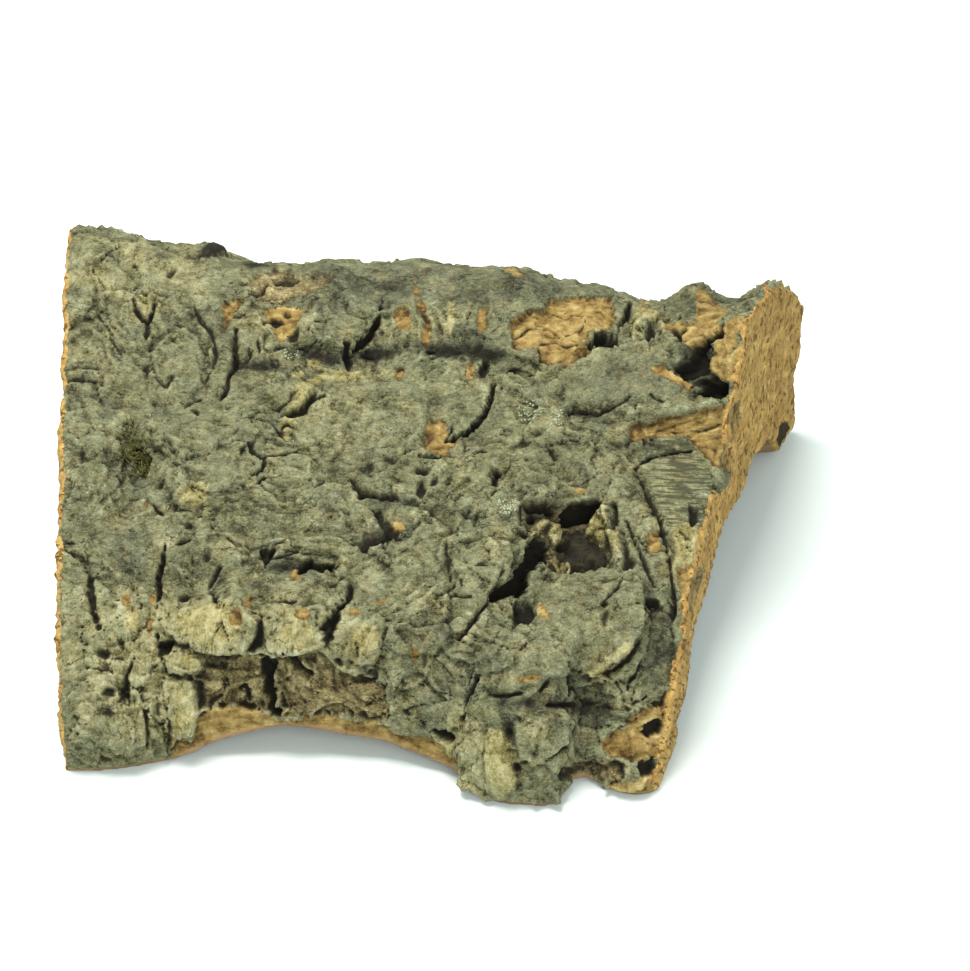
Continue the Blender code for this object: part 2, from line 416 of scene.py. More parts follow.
TORN_CORK = patches(
    Mask.TORN,
    (-0.7, ((-44.8, 57.7), (-43.8, 58.8), (-41.9, 59.6), (-40.5, 59.2), (-40.7, 57.7), (-41.8, 56), (-42.5, 54.6),
        (-43.7, 53.5), (-44.4, 54.6))),
    (-0.6, ((-36, 57.7), (-33.8, 58.2), (-30.8, 58.4), (-28.3, 57.7), (-28.6, 56), (-30.1, 53.1), (-32.5, 50.4),
        (-33.4, 51.4), (-34.5, 53.5), (-33.2, 55), (-35.6, 55))),
    (-0.8, ((-9.7, 53.8), (-10, 56), (-9.4, 58), (-7.7, 57.7), (-6.5, 55.2), (-7.2, 52.7))),
    (-0.4, ((-6.6, 61.2), (-6.2, 65.3), (-5.3, 62), (-4.8, 59.6))),
    (-0.7, ((-6, 59), (-4.4, 59.2), (-2.4, 55.4), (-2.8, 51.8), (-3.8, 49.6), (-4.6, 51.5), (-4, 54), (-5.2, 56.3))),
    (-0.6, ((6.6, 53.1), (6.4, 55.2), (7.1, 58), (9.4, 58.3), (8.5, 56.3), (8.6, 54.5), (7.4, 52.6))),
    (-0.5, ((-9.8, 43.6), (-9.7, 45.1), (-8.2, 46), (-7.2, 45.3), (-8.4, 43))),
    (-0.5, ((4.3, 43.2), (4.3, 46.2), (5.4, 47.2), (6.2, 45.6), (5.9, 42.9))),
    (-0.9, ((-2.4, 34.9), (0.2, 35.2), (1.2, 33.5), (1.4, 31.9), (3.2, 31), (1.6, 28.6), (0.2, 27.6), (-3, 29),
        (-3.5, 31.5))),
    (-0.5, ((11.2, 65.6), (12.3, 67.1), (14.6, 66.9), (16.6, 65.1), (14, 64.4))),
    # the big patch on the ridge
    (-1.3, ((13.4, 54.8), (16.4, 57), (20.4, 57.7), (21.6, 60.2), (27.5, 61), (33.9, 60.8), (34.4, 56), (33.6, 54),
        (29, 53.4), (28.6, 51.6), (26.4, 50.2), (30, 49.4), (28.4, 48.4), (26.2, 47), (24, 45.6), (22.4, 46.8),
        (19, 46.4), (18.6, 49.6), (16.1, 49.4), (13.7, 48.8), (13.2, 52))),
    # the spur at the top of the deep pit
    (-0.4, ((49.6, 53.4), (50.6, 58), (51, 61.6), (51.8, 62), (53.4, 60.4), (56.2, 57), (55.6, 55.2), (53, 52.2),
        (50, 51.8), (47.6, 51.4))),
    (-0.3, ((43.6, 54), (46, 54.6), (49.6, 53.6), (50.8, 51), (48.2, 48.8), (46.4, 50), (45, 51.6))),
    (-0.2, ((49, 52.6), (53, 54), (56, 53), (57, 49.6), (55, 46.4), (52.6, 46.6), (52.8, 49.6), (51, 51))),
    (0.8, ((54.6, 46.6), (51.7, 47.3), (51.7, 44.5), (53, 43.1), (54.4, 42.2), (57.1, 41.6), (61, 40), (64, 45),
        (63, 52), (58, 50.5), (56, 48.4))),
    (-0.5, ((40, 44), (41.6, 45.6), (42.8, 45.8), (43.8, 44.4), (46.6, 43.4), (48.8, 41), (47.2, 40), (45.2, 41.4),
        (43, 43))),
    # the triangle that runs into the sawn end
    (-1, ((36.3, 31), (36.3, 33.9), (40.9, 34.6), (45.1, 35.7), (49.9, 36.8), (54.5, 38.2), (62, 40), (62, 25),
        (53, 25.2), (51, 27.2), (49, 29.2), (46.6, 31.6), (41.8, 31.6))),
    (-0.5, ((38, 9.6), (38.1, 13), (41, 13.8), (41.2, 9.3))),
    (-0.8, ((43, 7), (48, 7), (49, 2), (47.5, -4), (46, -16), (44, -28), (41, -27), (40.2, -20), (41.2, -16),
        (42, -12), (43.2, -8), (43.8, -2), (44, 4))),
    # low down beside the sawn end
    (-0.8, ((29.1, -24.4), (31.8, -22), (33.6, -21.8), (34.8, -19.9), (36.3, -18.1), (41, -17.7), (41.2, -19.7),
        (44, -20.7), (44.4, -25.8), (39.1, -27), (34.5, -27.8), (30.6, -26.5))),
    # the broken edge along the front hollow
    (-0.9, ((-48.5, -24.8), (-46.5, -25.2), (-45.4, -22), (-44.2, -19.4), (-41.6, -18.6), (-37.9, -18.4),
        (-34.3, -18.8), (-32.1, -19.9), (-29.7, -21.2), (-26.9, -20.8), (-23.2, -20.1), (-19.5, -20.3),
        (-15.4, -21.1), (-10.8, -21.6), (-8.4, -23.9), (-3.8, -24), (-1, -24.5), (0.8, -25.8), (3.6, -27.1),
        (4.4, -30), (0, -33), (-10, -31), (-30, -29), (-45, -31), (-51, -30))),
    (-0.6, ((-49.4, -24.5), (-47.6, -23.8), (-45.6, -25.6), (-46.2, -28), (-49.5, -28))),
    (-0.5, ((25.5, -31.7), (29.5, -32.2), (33.6, -31.2), (37.2, -30.2), (40.5, -28.6), (43, -34), (34, -38),
        (24, -36))),
) + spots(
    Mask.TORN,
    (-58.2, 0.6, 0.8, 1.9, 10, -0.3),
    (-57, -0.9, 0.6, 0.9, 0, -0.3),
    (-53.4, 0.7, 0.8, 1.7, 0, -0.4),
    (-53.7, -3.4, 0.8, 1.8, 8, -0.4),
    (-36.7, -2.1, 1, 1.1, 0, -0.3),
    (-35.3, 0.8, 0.6, 1.5, -20, -0.2),
    (-25.2, -1.7, 1.3, 0.8, 0, -0.2),
    (-15.7, -0.9, 1.3, 0.9, 30, -0.3),
    (-11, 0.5, 1, 0.35, 0, -0.1),
    (-8.3, 14.3, 1.4, 0.8, -20, -0.2),
    (-55.9, 18.5, 0.5, 0.5, 0, -0.1),
    (-27.1, 5.3, 1, 0.8, 0, 0.3),
    (-4.6, -8.6, 1.4, 1.1, 0, -0.3),
    (26, 21, 1.2, 0.5, 0, -0.2),
    (16, -12.6, 2, 0.6, 10, -0.2),
    (18.6, -1.2, 0.9, 1.4, 20, 0.3),
    (57, 53, 2, 1.4, 40, -0.3),
    (40.4, 58.2, 0.8, 1.2, 0, -0.3),
    (51, 16.8, 1.2, 2, -10, -0.3),
)
HOLES = patches(
    Mask.PLAIN,
    # the deep pit beside the sawn end, round its black bottom
    (-1.5, ((44.2, 45.2), (46.6, 47.6), (48.4, 50.4), (51, 51.8), (53.6, 53.4), (54.4, 52), (52.4, 50), (52, 47),
        (51.2, 45), (53, 43), (55.2, 42), (54.8, 39.8), (53.2, 38.8), (51, 39.8), (48.6, 42), (45.6, 43.6))),
) + patches(
    Mask.DARK,
    (-3.4, ((45, 45.4), (46.8, 46.8), (48.4, 47.4), (49, 49.6), (50.8, 51), (52.4, 51.8), (54.2, 53.8), (54.8, 53.6),
        (52.8, 51.2), (51, 49.6), (50.4, 48), (51.2, 46), (50.6, 44.2), (48.4, 43.6), (46.4, 43.6))),
    (-2, ((50.2, 42.4), (52.4, 41.8), (54.4, 41.6), (54.4, 40.4), (53.2, 39.4), (51.8, 39.6), (50.6, 40.6))),
    # the cave under the big torn patch
    (-4, ((28.4, 50.6), (30, 51.4), (30.4, 53), (31.6, 53.6), (33.6, 53.4), (34.6, 52.4), (34.8, 50.6), (34.2, 49.4),
        (32.6, 49), (31.4, 49.6), (29.6, 50))),
    (-2.4, ((39.7, 51), (39.7, 53), (40.4, 54), (41.4, 53.9), (41.6, 52.4), (41.2, 50.8), (40.4, 50.4))),
    (-2.6, ((44.8, 53.4), (47.4, 53.4), (48, 52.8), (46.6, 52.2), (46.2, 51), (45.2, 51.6))),
    # the gully
    (-5, ((8.4, 0.4), (9.2, 2.2), (10.4, 3.4), (12.4, 4.4), (13.8, 6.4), (15.2, 8), (15.6, 10.4), (16.2, 11.6),
        (17.6, 13.2), (18.8, 12), (20, 11.4), (20.2, 9.6), (19, 8.4), (17.4, 7), (16.2, 6.2), (16, 4.4), (15.6, 2.6),
        (14.2, 1.6), (11.6, 1.4), (9.8, 0.8))),
    # the holes above it
    (-2.2, ((15, 18.4), (16.4, 19.2), (19.6, 19.4), (21.4, 18.6), (22.2, 17.2), (21.2, 16.4), (20.2, 17),
        (19.6, 17.8), (17.4, 18), (16.2, 17.6))),
    (-2.4, ((15.9, 16.6), (16.8, 17), (17.5, 16.4), (17, 15.4), (16.1, 15.5))),
    (-1.6, ((14.2, 18.2), (15, 18.4), (15.2, 16.4), (15.1, 14), (15.5, 12.2), (14.9, 12.8), (14.5, 15))),
    (-4.2, ((23.2, 15), (23.4, 17), (24.4, 18.5), (26.6, 18.9), (29.4, 18.3), (28.4, 17.4), (27.4, 15.6), (26.2, 16),
        (24.8, 14.6))),
    (-2.4, ((31.9, 18.8), (33, 18.7), (33.1, 15.6), (32.8, 13.6), (32.3, 13.8), (32.6, 16), (32.5, 18.2))),
    (-1.8, ((34, 11.6), (34.8, 11.4), (34.8, 9), (35.6, 8.2), (35.4, 6.6), (33.6, 6.6), (34, 8.6))),
    (-3, ((24.2, 8.9), (26, 9.4), (30.4, 9.1), (29.9, 7), (27, 6.5), (23.8, 6.3))),
    (-1.4, ((22, 11.8), (24.6, 12), (25.6, 11), (24.4, 10.2), (21.8, 10.4))),
    (-2.4, ((13, -1.9), (13.6, -0.4), (14.8, -0.2), (16.2, 0), (17.1, -0.8), (17.1, -1.7), (16, -3), (14.4, -2.6),
        (13.2, -3.2))),
    (-1.8, ((9.2, 21.8), (9.4, 24), (10.2, 25.6), (11, 26.4), (10.8, 25), (11.6, 24.6), (13, 25.2), (12, 24.2),
        (10.8, 23.6), (10.4, 22.2))),
    # the leaf-shaped notch in the middle
    (-2.2, ((-30.6, 35.8), (-29.2, 37.4), (-26.8, 38.6), (-25.6, 40.3), (-23.4, 39.8), (-25.4, 38.4), (-26.4, 36.6),
        (-28.6, 35.1))),
    # the wedge and the slot at the ridge's foot
    (-3, ((-12.6, 59), (-13.6, 55), (-15, 53), (-17.6, 50.2), (-18, 49), (-16.2, 49.4), (-14.4, 51.6),
        (-13.2, 54.2))),
    (-2.4, ((-19.9, 50.6), (-18.8, 50.6), (-18.7, 47.6), (-18, 46.4), (-18.9, 45), (-19.6, 46.6))),
    (-1.7, ((-60.6, 56), (-59.2, 55), (-58.4, 56), (-58.5, 52), (-59, 50.4), (-59.3, 54))),
    (-1.6, ((-35.6, 55.2), (-34.6, 55.8), (-32.6, 55.8), (-32.2, 54.6), (-33.7, 54.1))),
    (-1.4, ((-31.4, 52.3), (-29.1, 53.6), (-28.8, 52), (-31, 50.8))),
    (-1.6, ((-35.4, 64.8), (-32.1, 65.9), (-29.2, 64.5), (-31.2, 63.5), (-34.5, 63.8))),
    (-3, ((-33.6, 10.6), (-32.4, 10), (-30.8, 10.9), (-31.6, 9), (-32, 7.6), (-32.7, 7), (-33.3, 8.6))),
    (-2.6, ((-24.4, 8.6), (-23.8, 7.4), (-21.6, 7.6), (-19.4, 7.2), (-21.6, 6.6), (-22, 5.8), (-24, 6.4),
        (-26.4, 5.8), (-26, 7.2))),
    (-2.4, ((-16.9, 5.2), (-16.2, 3.6), (-16.6, 1.2), (-17.6, 0.4), (-17.2, 3))),
    (-3, ((-17.8, 0.8), (-19.6, -0.8), (-21.2, -3.2), (-21.4, -5.8), (-20.8, -7), (-19.6, -4.6), (-18.6, -2))),
    (-2.6, ((-52.2, -5), (-51.6, -6.6), (-49.8, -6.6), (-50, -8.8), (-51.6, -9), (-52, -7.4))),
    # the slot down the front hollow
    (-3, ((-33.2, -8.4), (-31.2, -8.6), (-30.6, -11), (-31.2, -13), (-31, -16.8), (-29.8, -20.8), (-31.4, -20.4),
        (-32.4, -16), (-32.8, -12))),
    (-1.8, ((-35.6, -7.8), (-34.4, -6), (-33.4, -4), (-32.9, -1), (-32.4, -3.6), (-32.8, -7.4), (-34.2, -8.6))),
    (-2, ((-16.2, 20), (-14.6, 21.2), (-12.6, 20.4), (-9, 20.6), (-8, 19.4), (-11, 19.2), (-13.4, 19.6),
        (-15.4, 19.2))),
    (-1.5, ((-13.2, 17.2), (-11.6, 17.4), (-11, 15), (-9, 14.2), (-8, 13), (-10.4, 13.2), (-12, 14.4))),
    (-1.5, ((-16.6, 11), (-13, 12.2), (-9, 13.2), (-8, 12), (-11.6, 10.8), (-14.4, 10.2))),
    (-2.2, ((-1.4, -22.6), (1, -22.2), (2.9, -23.4), (1.8, -24.6), (-0.6, -23.9))),
    (-2, ((36.6, -22.8), (37.6, -21.4), (40, -20.6), (41, -21.2), (40.8, -22.8), (38.4, -23.5))),
    (-1.8, ((35.8, -28.2), (38.6, -27.6), (39.6, -28.4), (38.8, -30), (36.4, -30.4))),
    (-2.4, ((37.4, 1.4), (38.6, 2), (40, 1.4), (40.2, 0), (38.4, -0.4), (37.5, 0.2))),
    (-1.8, ((41.6, 1), (42.6, 0.6), (43, -1), (42.4, -2.6), (41.6, -1))),
    (-2.2, ((46.5, 17.8), (48.3, 17.4), (48.1, 14.9), (46.8, 14.2))),
    (-2, ((-65.6, 6), (-64.4, 4), (-63.4, 0), (-63, -4), (-64.6, -2), (-65.8, 2))),
    (-2, ((-59.4, 29.8), (-57, 28.4), (-56, 26), (-57, 24.2), (-58.6, 26.4))),
) + spots(
    Mask.DARK,
    (-31.4, 56.6, 0.6, 0.5, 0, -1),
    (-62.6, 66.6, 0.8, 0.4, 50, -0.8),
    (-55.4, 65.2, 1.1, 0.6, 60, -1),
    (7.8, 45.4, 0.9, 1.6, -10, -2),
    (-4.2, 24.3, 1.3, 0.7, 10, -1.6),
    (-4.2, 21, 0.8, 1.2, 0, -1.4),
    (-1.6, 22.6, 0.5, 0.9, -30, -1),
    (-58, -16, 0.9, 2.6, -8, -1.5),
    (-60.6, -15.6, 1.2, 0.8, 0, -1.2),
    (-58.6, -7, 0.6, 1.5, 30, -1.2),
    (-62, -8.6, 1.4, 0.7, -20, -1.4),
    (51.3, 17.6, 0.5, 1.5, -14, -1.4),
    (74.5, 33.6, 3.4, 2.6, 20, -0.8),
    (24, -21.6, 0.6, 1, 0, -1.2),
    (12.2, -22, 0.7, 1.2, 0, -1.2),
    (13.8, -28.6, 0.9, 0.8, 0, -1.2),
    (30, -0.2, 0.6, 0.5, 0, -0.9),
    (29.9, -2.6, 0.4, 1, -8, -0.9),
    (-47.6, 1.2, 1, 0.8, 0, -1.2),
    (-47.4, 14.4, 0.7, 0.7, 0, -1),
    (-43.5, 8.6, 0.5, 0.9, 0, -1),
    (6.3, 15.8, 0.5, 1.2, -20, -1),
    (4.8, 11, 0.5, 0.8, 0, -0.8),
    (-18.6, -10.2, 1, 0.6, -30, -0.9),
    (-57.4, 3.6, 0.4, 1, 30, -0.8),
)
FISSURES = fissures(
    (0.7, 0.8, ((19, 50.6), (21.6, 51.6), (24.4, 50.4), (26.6, 50.8))),
    (0.6, 0.7, ((14, 52), (17, 54.4), (21, 54.2), (23, 52.6))),
    (0.6, 0.6, ((22, 57.4), (24.6, 56.4), (26, 57.6), (30, 57))),
    (0.6, 0.6, ((24.4, 53), (27, 54), (28.2, 56.2))),
    (0.6, 0.5, ((39.6, 32.4), (44, 33.6), (50, 35.4))),
    (0.6, 0.5, ((44, 32.4), (50, 32.6), (54, 34))),
    (1, 1.6, ((-62.2, 59.6), (-61.4, 56.9), (-59.5, 54.9))),
    (1, 1.6, ((-57.9, 59.7), (-58.1, 56.5), (-58.9, 54.9))),
    (0.9, 1.2, ((-57.6, 51.3), (-57.9, 48.6))),
    (0.8, 0.9, ((-66, 51), (-65, 49.6), (-63, 47))),
    (1, 1.3, ((-49.9, 57.3), (-48.6, 54.6), (-46.6, 52.9), (-45.4, 50), (-45, 47.3), (-45.4, 44.7), (-46.7, 42.2))),
    (1.5, 2.2, ((-41.6, 53.5), (-41.3, 49.4), (-40.9, 45.3), (-42.4, 43.7))),
    (1.3, 2, ((-42.4, 43.7), (-42.1, 41.2), (-43.2, 38.8))),
    (0.9, 1.2, ((-50, 37.2), (-48.6, 38.2), (-47.1, 38.8))),
    (0.8, 1, ((-48.1, 36.8), (-47.4, 35.8))),
    (0.7, 0.8, ((-57, 44.6), (-55.7, 42.2), (-54.1, 40.8), (-53, 43.6))),
    (1, 1.4, ((-39.1, 60.3), (-37.1, 61.6), (-35.9, 63.6))),
    (0.9, 1.2, ((-37, 51), (-36.6, 48.6))),
    (0.8, 1.1, ((-38.6, 49.6), (-38.2, 47.4))),
    (0.6, 1, ((-16.4, 48), (-14.4, 47.6))),
    (0.6, 1.2, ((-3.6, 48.8), (-2, 48.4))),
    (1, 1.7, ((-38.8, 28), (-38.4, 29), (-37.4, 30), (-36.6, 28.6), (-35, 27.4), (-34, 26.6), (-34.6, 24.8),
        (-36.4, 24.2))),
    (0.8, 1.2, ((-34, 27.4), (-31.6, 27.6), (-28, 28))),
    (1, 1.6, ((-35, 22.2), (-34, 23.6), (-33, 23.4))),
    (0.9, 1.5, ((-31.4, 33), (-30.4, 33.8), (-29.2, 33.4))),
    (2, 3.2, ((9.7, 42), (9.1, 39), (7.8, 35.8), (5.6, 33), (3.2, 31.8), (0.6, 31.4))),
    (1.2, 1.5, ((1.9, 34.2), (1.6, 32.6), (0.6, 31.6))),
    (1.2, 1.6, ((-4.6, 27.8), (-2.6, 27.2), (-0.6, 27))),
    (0.9, 1.4, ((6.2, 27.8), (7.2, 28.6), (8.4, 28.2))),
    (0.9, 1.3, ((20.2, 28.8), (21.4, 27))),
    (0.9, 1.4, ((-54.6, 18.8), (-53.6, 17.4), (-52.4, 16.4))),
    (0.7, 1, ((-50, 17.2), (-47, 17.3))),
    (1.2, 2.8, ((-51.6, 11), (-52, 8), (-52.6, 5), (-52.2, 2), (-52.6, -1))),
    (0.9, 1.3, ((-49.6, 11), (-47, 11.6))),
    (1.2, 1.7, ((-41, 7), (-41.8, 5), (-43.2, 2.8))),
    (0.9, 1.3, ((-42.2, 2.2), (-41.6, 0.6), (-40.2, -0.6))),
    (0.8, 1.5, ((-24.2, 21.6), (-22.4, 22.4))),
    (1.2, 1.8, ((-17.6, 23.6), (-16.6, 21.6), (-15.4, 20.4))),
    (0.9, 1.4, ((-31.6, 8.6), (-29, 9), (-27, 9.6))),
    (0.7, 1, ((-21.4, 3.2), (-19.6, 4), (-18.4, 5))),
    (0.6, 1, ((-31, 1), (-26.6, 0.6))),
    (0.8, 1.3, ((0.7, 13), (0.8, 10), (1.4, 6), (1.9, 4))),
    (0.6, 1.1, ((-1.6, 1.6), (1.8, 2), (5.4, 1.8))),
    (0.9, 1.9, ((8.4, 0.4), (6.4, -1.8), (4.2, -4.6), (3.2, -5.8))),
    (0.9, 1.4, ((24.4, 36), (27, 36.6), (30, 36.2), (34, 37.4), (36.2, 39.2))),
    (0.6, 1, ((40.2, 39.6), (41, 38.6), (42.4, 38))),
    (2, 3.2, ((37.9, 60.2), (37.2, 58), (36.2, 55.8), (35.6, 54), (34.4, 52))),
    (1, 2.1, ((37.2, 24), (38.3, 21.8), (39.8, 19), (41.4, 13.8), (42.3, 8.3), (42.4, 4.7), (42.7, -0.7),
        (42.2, -2.6))),
    (0.8, 1.6, ((34.6, 15.6), (35.7, 12.5), (37, 9.2), (38.2, 6.4), (39.4, 3.6))),
    (0.8, 1.5, ((33.5, 6), (33.4, 4), (32.6, 2.4), (30.8, 1.2), (29.6, 0))),
    (0.9, 1.8, ((6.8, -12.6), (5.6, -16), (4.2, -20.2))),
    (1, 1.9, ((22.4, -10), (23.2, -13), (23.2, -15.6))),
    (1.2, 1.9, ((36.4, -6), (34.4, -9), (31.4, -11.3), (28.4, -12.2))),
    (0.7, 1.3, ((36.4, -10.2), (35.6, -12), (34.2, -13.4), (34, -14.6))),
    (0.8, 1.2, ((9.4, -15.6), (12.4, -15.4), (14.6, -15))),
    (0.8, 1.4, ((19.4, -12.8), (18, -14.8))),
    (1, 1.6, ((19.6, -17.4), (22, -17.4), (24.6, -17.6))),
    (1, 1.4, ((18.8, -27), (21, -25.6), (22.6, -25))),
    (1.2, 1.8, ((-28.6, -8), (-27, -9.6), (-25.4, -11.6), (-23.6, -12.6))),
    (0.9, 1.5, ((-54.4, -19), (-54, -22.6), (-54.2, -26.4))),
    (0.8, 1.3, ((-50, -21), (-50.2, -25.4))),
    (1.1, 1.7, ((-56, -9), (-57.6, -12.8), (-57.2, -17.6))),
    (1.1, 1.6, ((-46.2, -12.8), (-44.6, -14.4), (-44.6, -18.8))),
    (0.9, 1.5, ((47.4, 5.2), (46.6, 0), (45.2, -6), (43.2, -10.4), (42, -15), (40.9, -19.6))),
    (0.7, 1.3, ((36.4, 25.2), (39.8, 27.2), (44, 28.2), (47.6, 28.6))),
    (1.3, 1.7, ((-38.2, -16.6), (-36, -15), (-35, -17.4))),
)
BROWN_HOLLOWS = patches(
    Mask.BROWN,
    (-2.2, ((-45, -13), (-43.2, -9.4), (-40, -8.7), (-36, -8.4), (-33, -8.8), (-31.2, -13), (-30.4, -20),
        (-34, -18.8), (-38, -18.3), (-43, -18.8), (-44.6, -19))),
    (-1.5, ((-30.6, -9.4), (-27, -9), (-22, -8), (-19, -11.5), (-14.6, -13), (-10, -14), (-9.4, -20), (-11, -21.4),
        (-19, -20.2), (-27, -20.6), (-30, -20.6))),
    (-1.7, ((15, 19.4), (19.6, 19.6), (23, 19), (30, 19), (31.4, 14), (31.6, 6.8), (24, 6.2), (20.2, 6.6), (18.4, 8),
        (20.4, 11), (18, 13.4), (15.6, 12.4), (15.2, 16))),
    (-1.6, ((21.8, -30.2), (24, -28.6), (29, -27.4), (33.4, -28.4), (33.4, -30.8), (30.1, -31.8), (25, -31.8))),
    (-0.8, ((-41.1, 62.6), (-38.6, 64.7), (-34.9, 66.9), (-32.4, 66.9), (-29, 65), (-23.7, 65.1), (-22.8, 63.9),
        (-25.2, 61.8), (-30.1, 60.1), (-34.1, 58.6), (-37.6, 59.8), (-38.3, 62))),
) + patches(
    Mask.PLAIN,
    (-1.2, ((24, -14.4), (31, -13.4), (36, -12), (38, -6), (38.6, 0), (41.8, -1), (43, -10), (41, -17.6),
        (36.3, -17.8), (33, -19), (26, -17.6))),
)
CRUSTS = patches(
    Mask.PALE,
    (1.5, ((27.4, 13), (28, 15.4), (29.4, 17.8), (30.4, 18.6), (31.8, 18.2), (31.9, 15), (31.6, 12.4), (29.6, 11.6))),
    (1.3, ((31.4, 12.4), (33.2, 13.8), (33.8, 11), (33.8, 8.6), (32.6, 7.2), (31.8, 9.8))),
    (0.8, ((20, 8.6), (22, 9.2), (23.8, 8.8), (23.8, 6.6), (20.8, 6.8))),
    (0.7, ((15.8, 14), (17.6, 14), (17.8, 12.6), (16.4, 12))),
    (1, ((20.2, 12.4), (21, 15), (22.4, 15.8), (23.4, 13.6), (22.8, 11.4), (21, 10.6))),
    (0.5, ((42.8, 6.4), (43.2, 13.6), (46, 14), (48.6, 13.4), (49, 10), (47, 7))),
    (0.4, ((26.6, -11.9), (28.4, -12.9), (31.2, -11.4), (34.6, -7.6), (33.6, -6.4), (29.8, -9.6))),
    (0.2, ((-61.8, 60.6), (-58.2, 60.4), (-59.8, 56.4))),
    (0.3, ((-1.2, -24.2), (3.2, -24.2), (3.4, -28.4), (0.6, -27.4))),
    (0.2, ((0, 52.2), (0.4, 59.2), (2, 59), (2.2, 54.2), (1.4, 51.8))),
    (0.3, ((37.4, 54.8), (39, 58.6), (41.2, 58.6), (41.4, 55.4))),
) + [
    Trace(Mask.PALE, 1.1, ((37.9, 50.4), (38.2, 52.8), (39.4, 54.8), (41.4, 55.4), (43.2, 54.2), (43.6, 52.4)), 2),
    Trace(Mask.PALE, 0.4, ((-31, 31), (-27.5, 40.4), (-24, 44)), 3.2),
    Trace(Mask.PALE, 0.3, ((-22, 43.6), (-16, 43.6)), 2.4),
] + spots(
    Mask.PALE,
    (18.8, 15.2, 1.3, 1, 20, 0.8),
    (18.8, 20.5, 1.2, 0.4, 0, 0.3),
    (11.2, -27.2, 3.2, 6, 10, 0.3),
    (-47, 20, 3, 2.2, 0, 0.2),
    (-42, -3.4, 6, 3.4, 0, 0.3),
    (-26.6, -4.6, 3.6, 2.4, 0, 0.3),
    (-47, -19, 2.4, 4, 0, 0.3),
    (-57, -3, 2, 3, 0, 0.2),
    (-14, -6, 3, 3, 0, 0.2),
    (-46, -10, 2.2, 1.6, 0, 0.1),
    (58, 53.6, 1.6, 1.4, 0, 0.2),
    (-29, 44, 1.4, 1.2, 0, 0.4),
    (-26, 46.4, 2, 1, -20, 0.3),
)
ENCLOSED = spots(
    Mask.ENCLOSED,
    (57, 35.6, 1.2, 2, -10, 0),
    (53.6, 25.4, 1.3, 3.2, -14, 0),
    (47.4, 3, 0.6, 1.8, -10, 0),
)
STRIPES = patches(
    Mask.STRIPED,
    (0.9, ((36.4, 27.4), (38.4, 30.2), (42, 31.4), (46.4, 31.2), (49.4, 28.6), (51, 25), (52.2, 20), (50.4, 18.6),
        (48.8, 14.2), (46, 14.4), (43.6, 13), (42.4, 14), (40.8, 18), (38.6, 22.6))),
)
SWELLINGS = spots(
    Mask.PLAIN,
    (-61.6, 39.2, 3.6, 3, 0, -1),
    (69, 62.5, 7, 5, 0, 1.4),
    (51.8, 61, 3.4, 3, 0, 1.2),
    (-48, 70.8, 3.6, 1.8, 5, 1.8),
    (-27, 56, 3, 5, 10, 0.9),
    (-8, 57, 4, 5, -10, 0.9),
    (5, 57, 3.4, 5, 0, 0.8),
    (-47, 55, 3, 6, 10, 0.8),
    (8, -35, 1.6, 1.4, 0, 1.4),
    (11, -36.6, 1.2, 1.6, 0, 1.6),
    (14.6, -36.8, 1.2, 1.2, 0, -1.2),
    (17, -36, 1.3, 1.6, 0, 1.5),
    (20.6, -34.4, 1, 1.8, 0, 1.6),
    (22.6, -30, 0.8, 1.6, 0, -1.2),
    (5.4, -31, 1.1, 1.4, 0, 1.2),
    (31, -32, 8, 3, 0, 1.2),
    (13.5, 65.5, 3, 1.8, 0, 0.6),
)
FRONT_MARKS = (
    PLATES + LEDGES + SWELLINGS + BROWN_HOLLOWS + TORN_CORK + CRUSTS + STRIPES + HOLES + FISSURES + ENCLOSED
)
# On the back, which no picture shows, the same kinds of mark are strewn plainly.
BACK_MARKS = (
    patches(
        Mask.PLAIN,
        (1.2, ((-60, 30), (-44, 33), (-36, 28), (-38, 18), (-50, 14), (-60, 18)), ((-44, 32), (-50, 15))),
        (1.2, ((-20, 28), (-8, 32), (4, 27), (6, 16), (-6, 12), (-18, 16)), ((-10, 30), (-6, 13))),
        (1, ((22, 32), (36, 34), (48, 28), (44, 18), (30, 14), (20, 20)), ((34, 33), (30, 15))),
        (0.9, ((-40, 6), (-28, 10), (-16, 6), (-20, -6), (-34, -8)), ((-28, 9), (-28, -7))),
        (0.9, ((8, 8), (22, 10), (32, 4), (26, -8), (10, -6)), ((20, 9), (18, -7))),
    )
    + patches(
        Mask.TORN,
        (-1, ((-30, 22), (-24, 26), (-20, 22), (-22, 15), (-28, 13), (-31, 17))),
        (-0.8, ((50, 6), (56, 9), (60, 4), (57, -2), (51, 0))),
        (-0.8, ((6, 34), (12, 37), (17, 34), (13, 30), (8, 30))),
    )
    + fissures(
        (1.6, 2.6, ((-62, 12), (-50, 9), (-40, 12), (-30, 8), (-22, 10))),
        (1.4, 2.2, ((-6, 10), (4, 12), (12, 9), (24, 13), (34, 11))),
        (1.2, 2, ((16, 30), (18, 22), (15, 14), (17, 4))),
        (1.3, 2.2, ((-38, 36), (-34, 28), (-36, 20), (-33, 10), (-36, 0))),
        (1.1, 1.8, ((52, 32), (50, 22), (54, 12), (50, 2))),
        (1, 1.6, ((-56, 34), (-60, 26), (-56, 18))),
    )
    + spots(Mask.DARK, (-12, 22, 2.2, 1.4, 20, -2.4), (40, 8, 1.8, 1.2, -30, -2.2), (-52, 2, 1.6, 1.2, 0, -2))
)
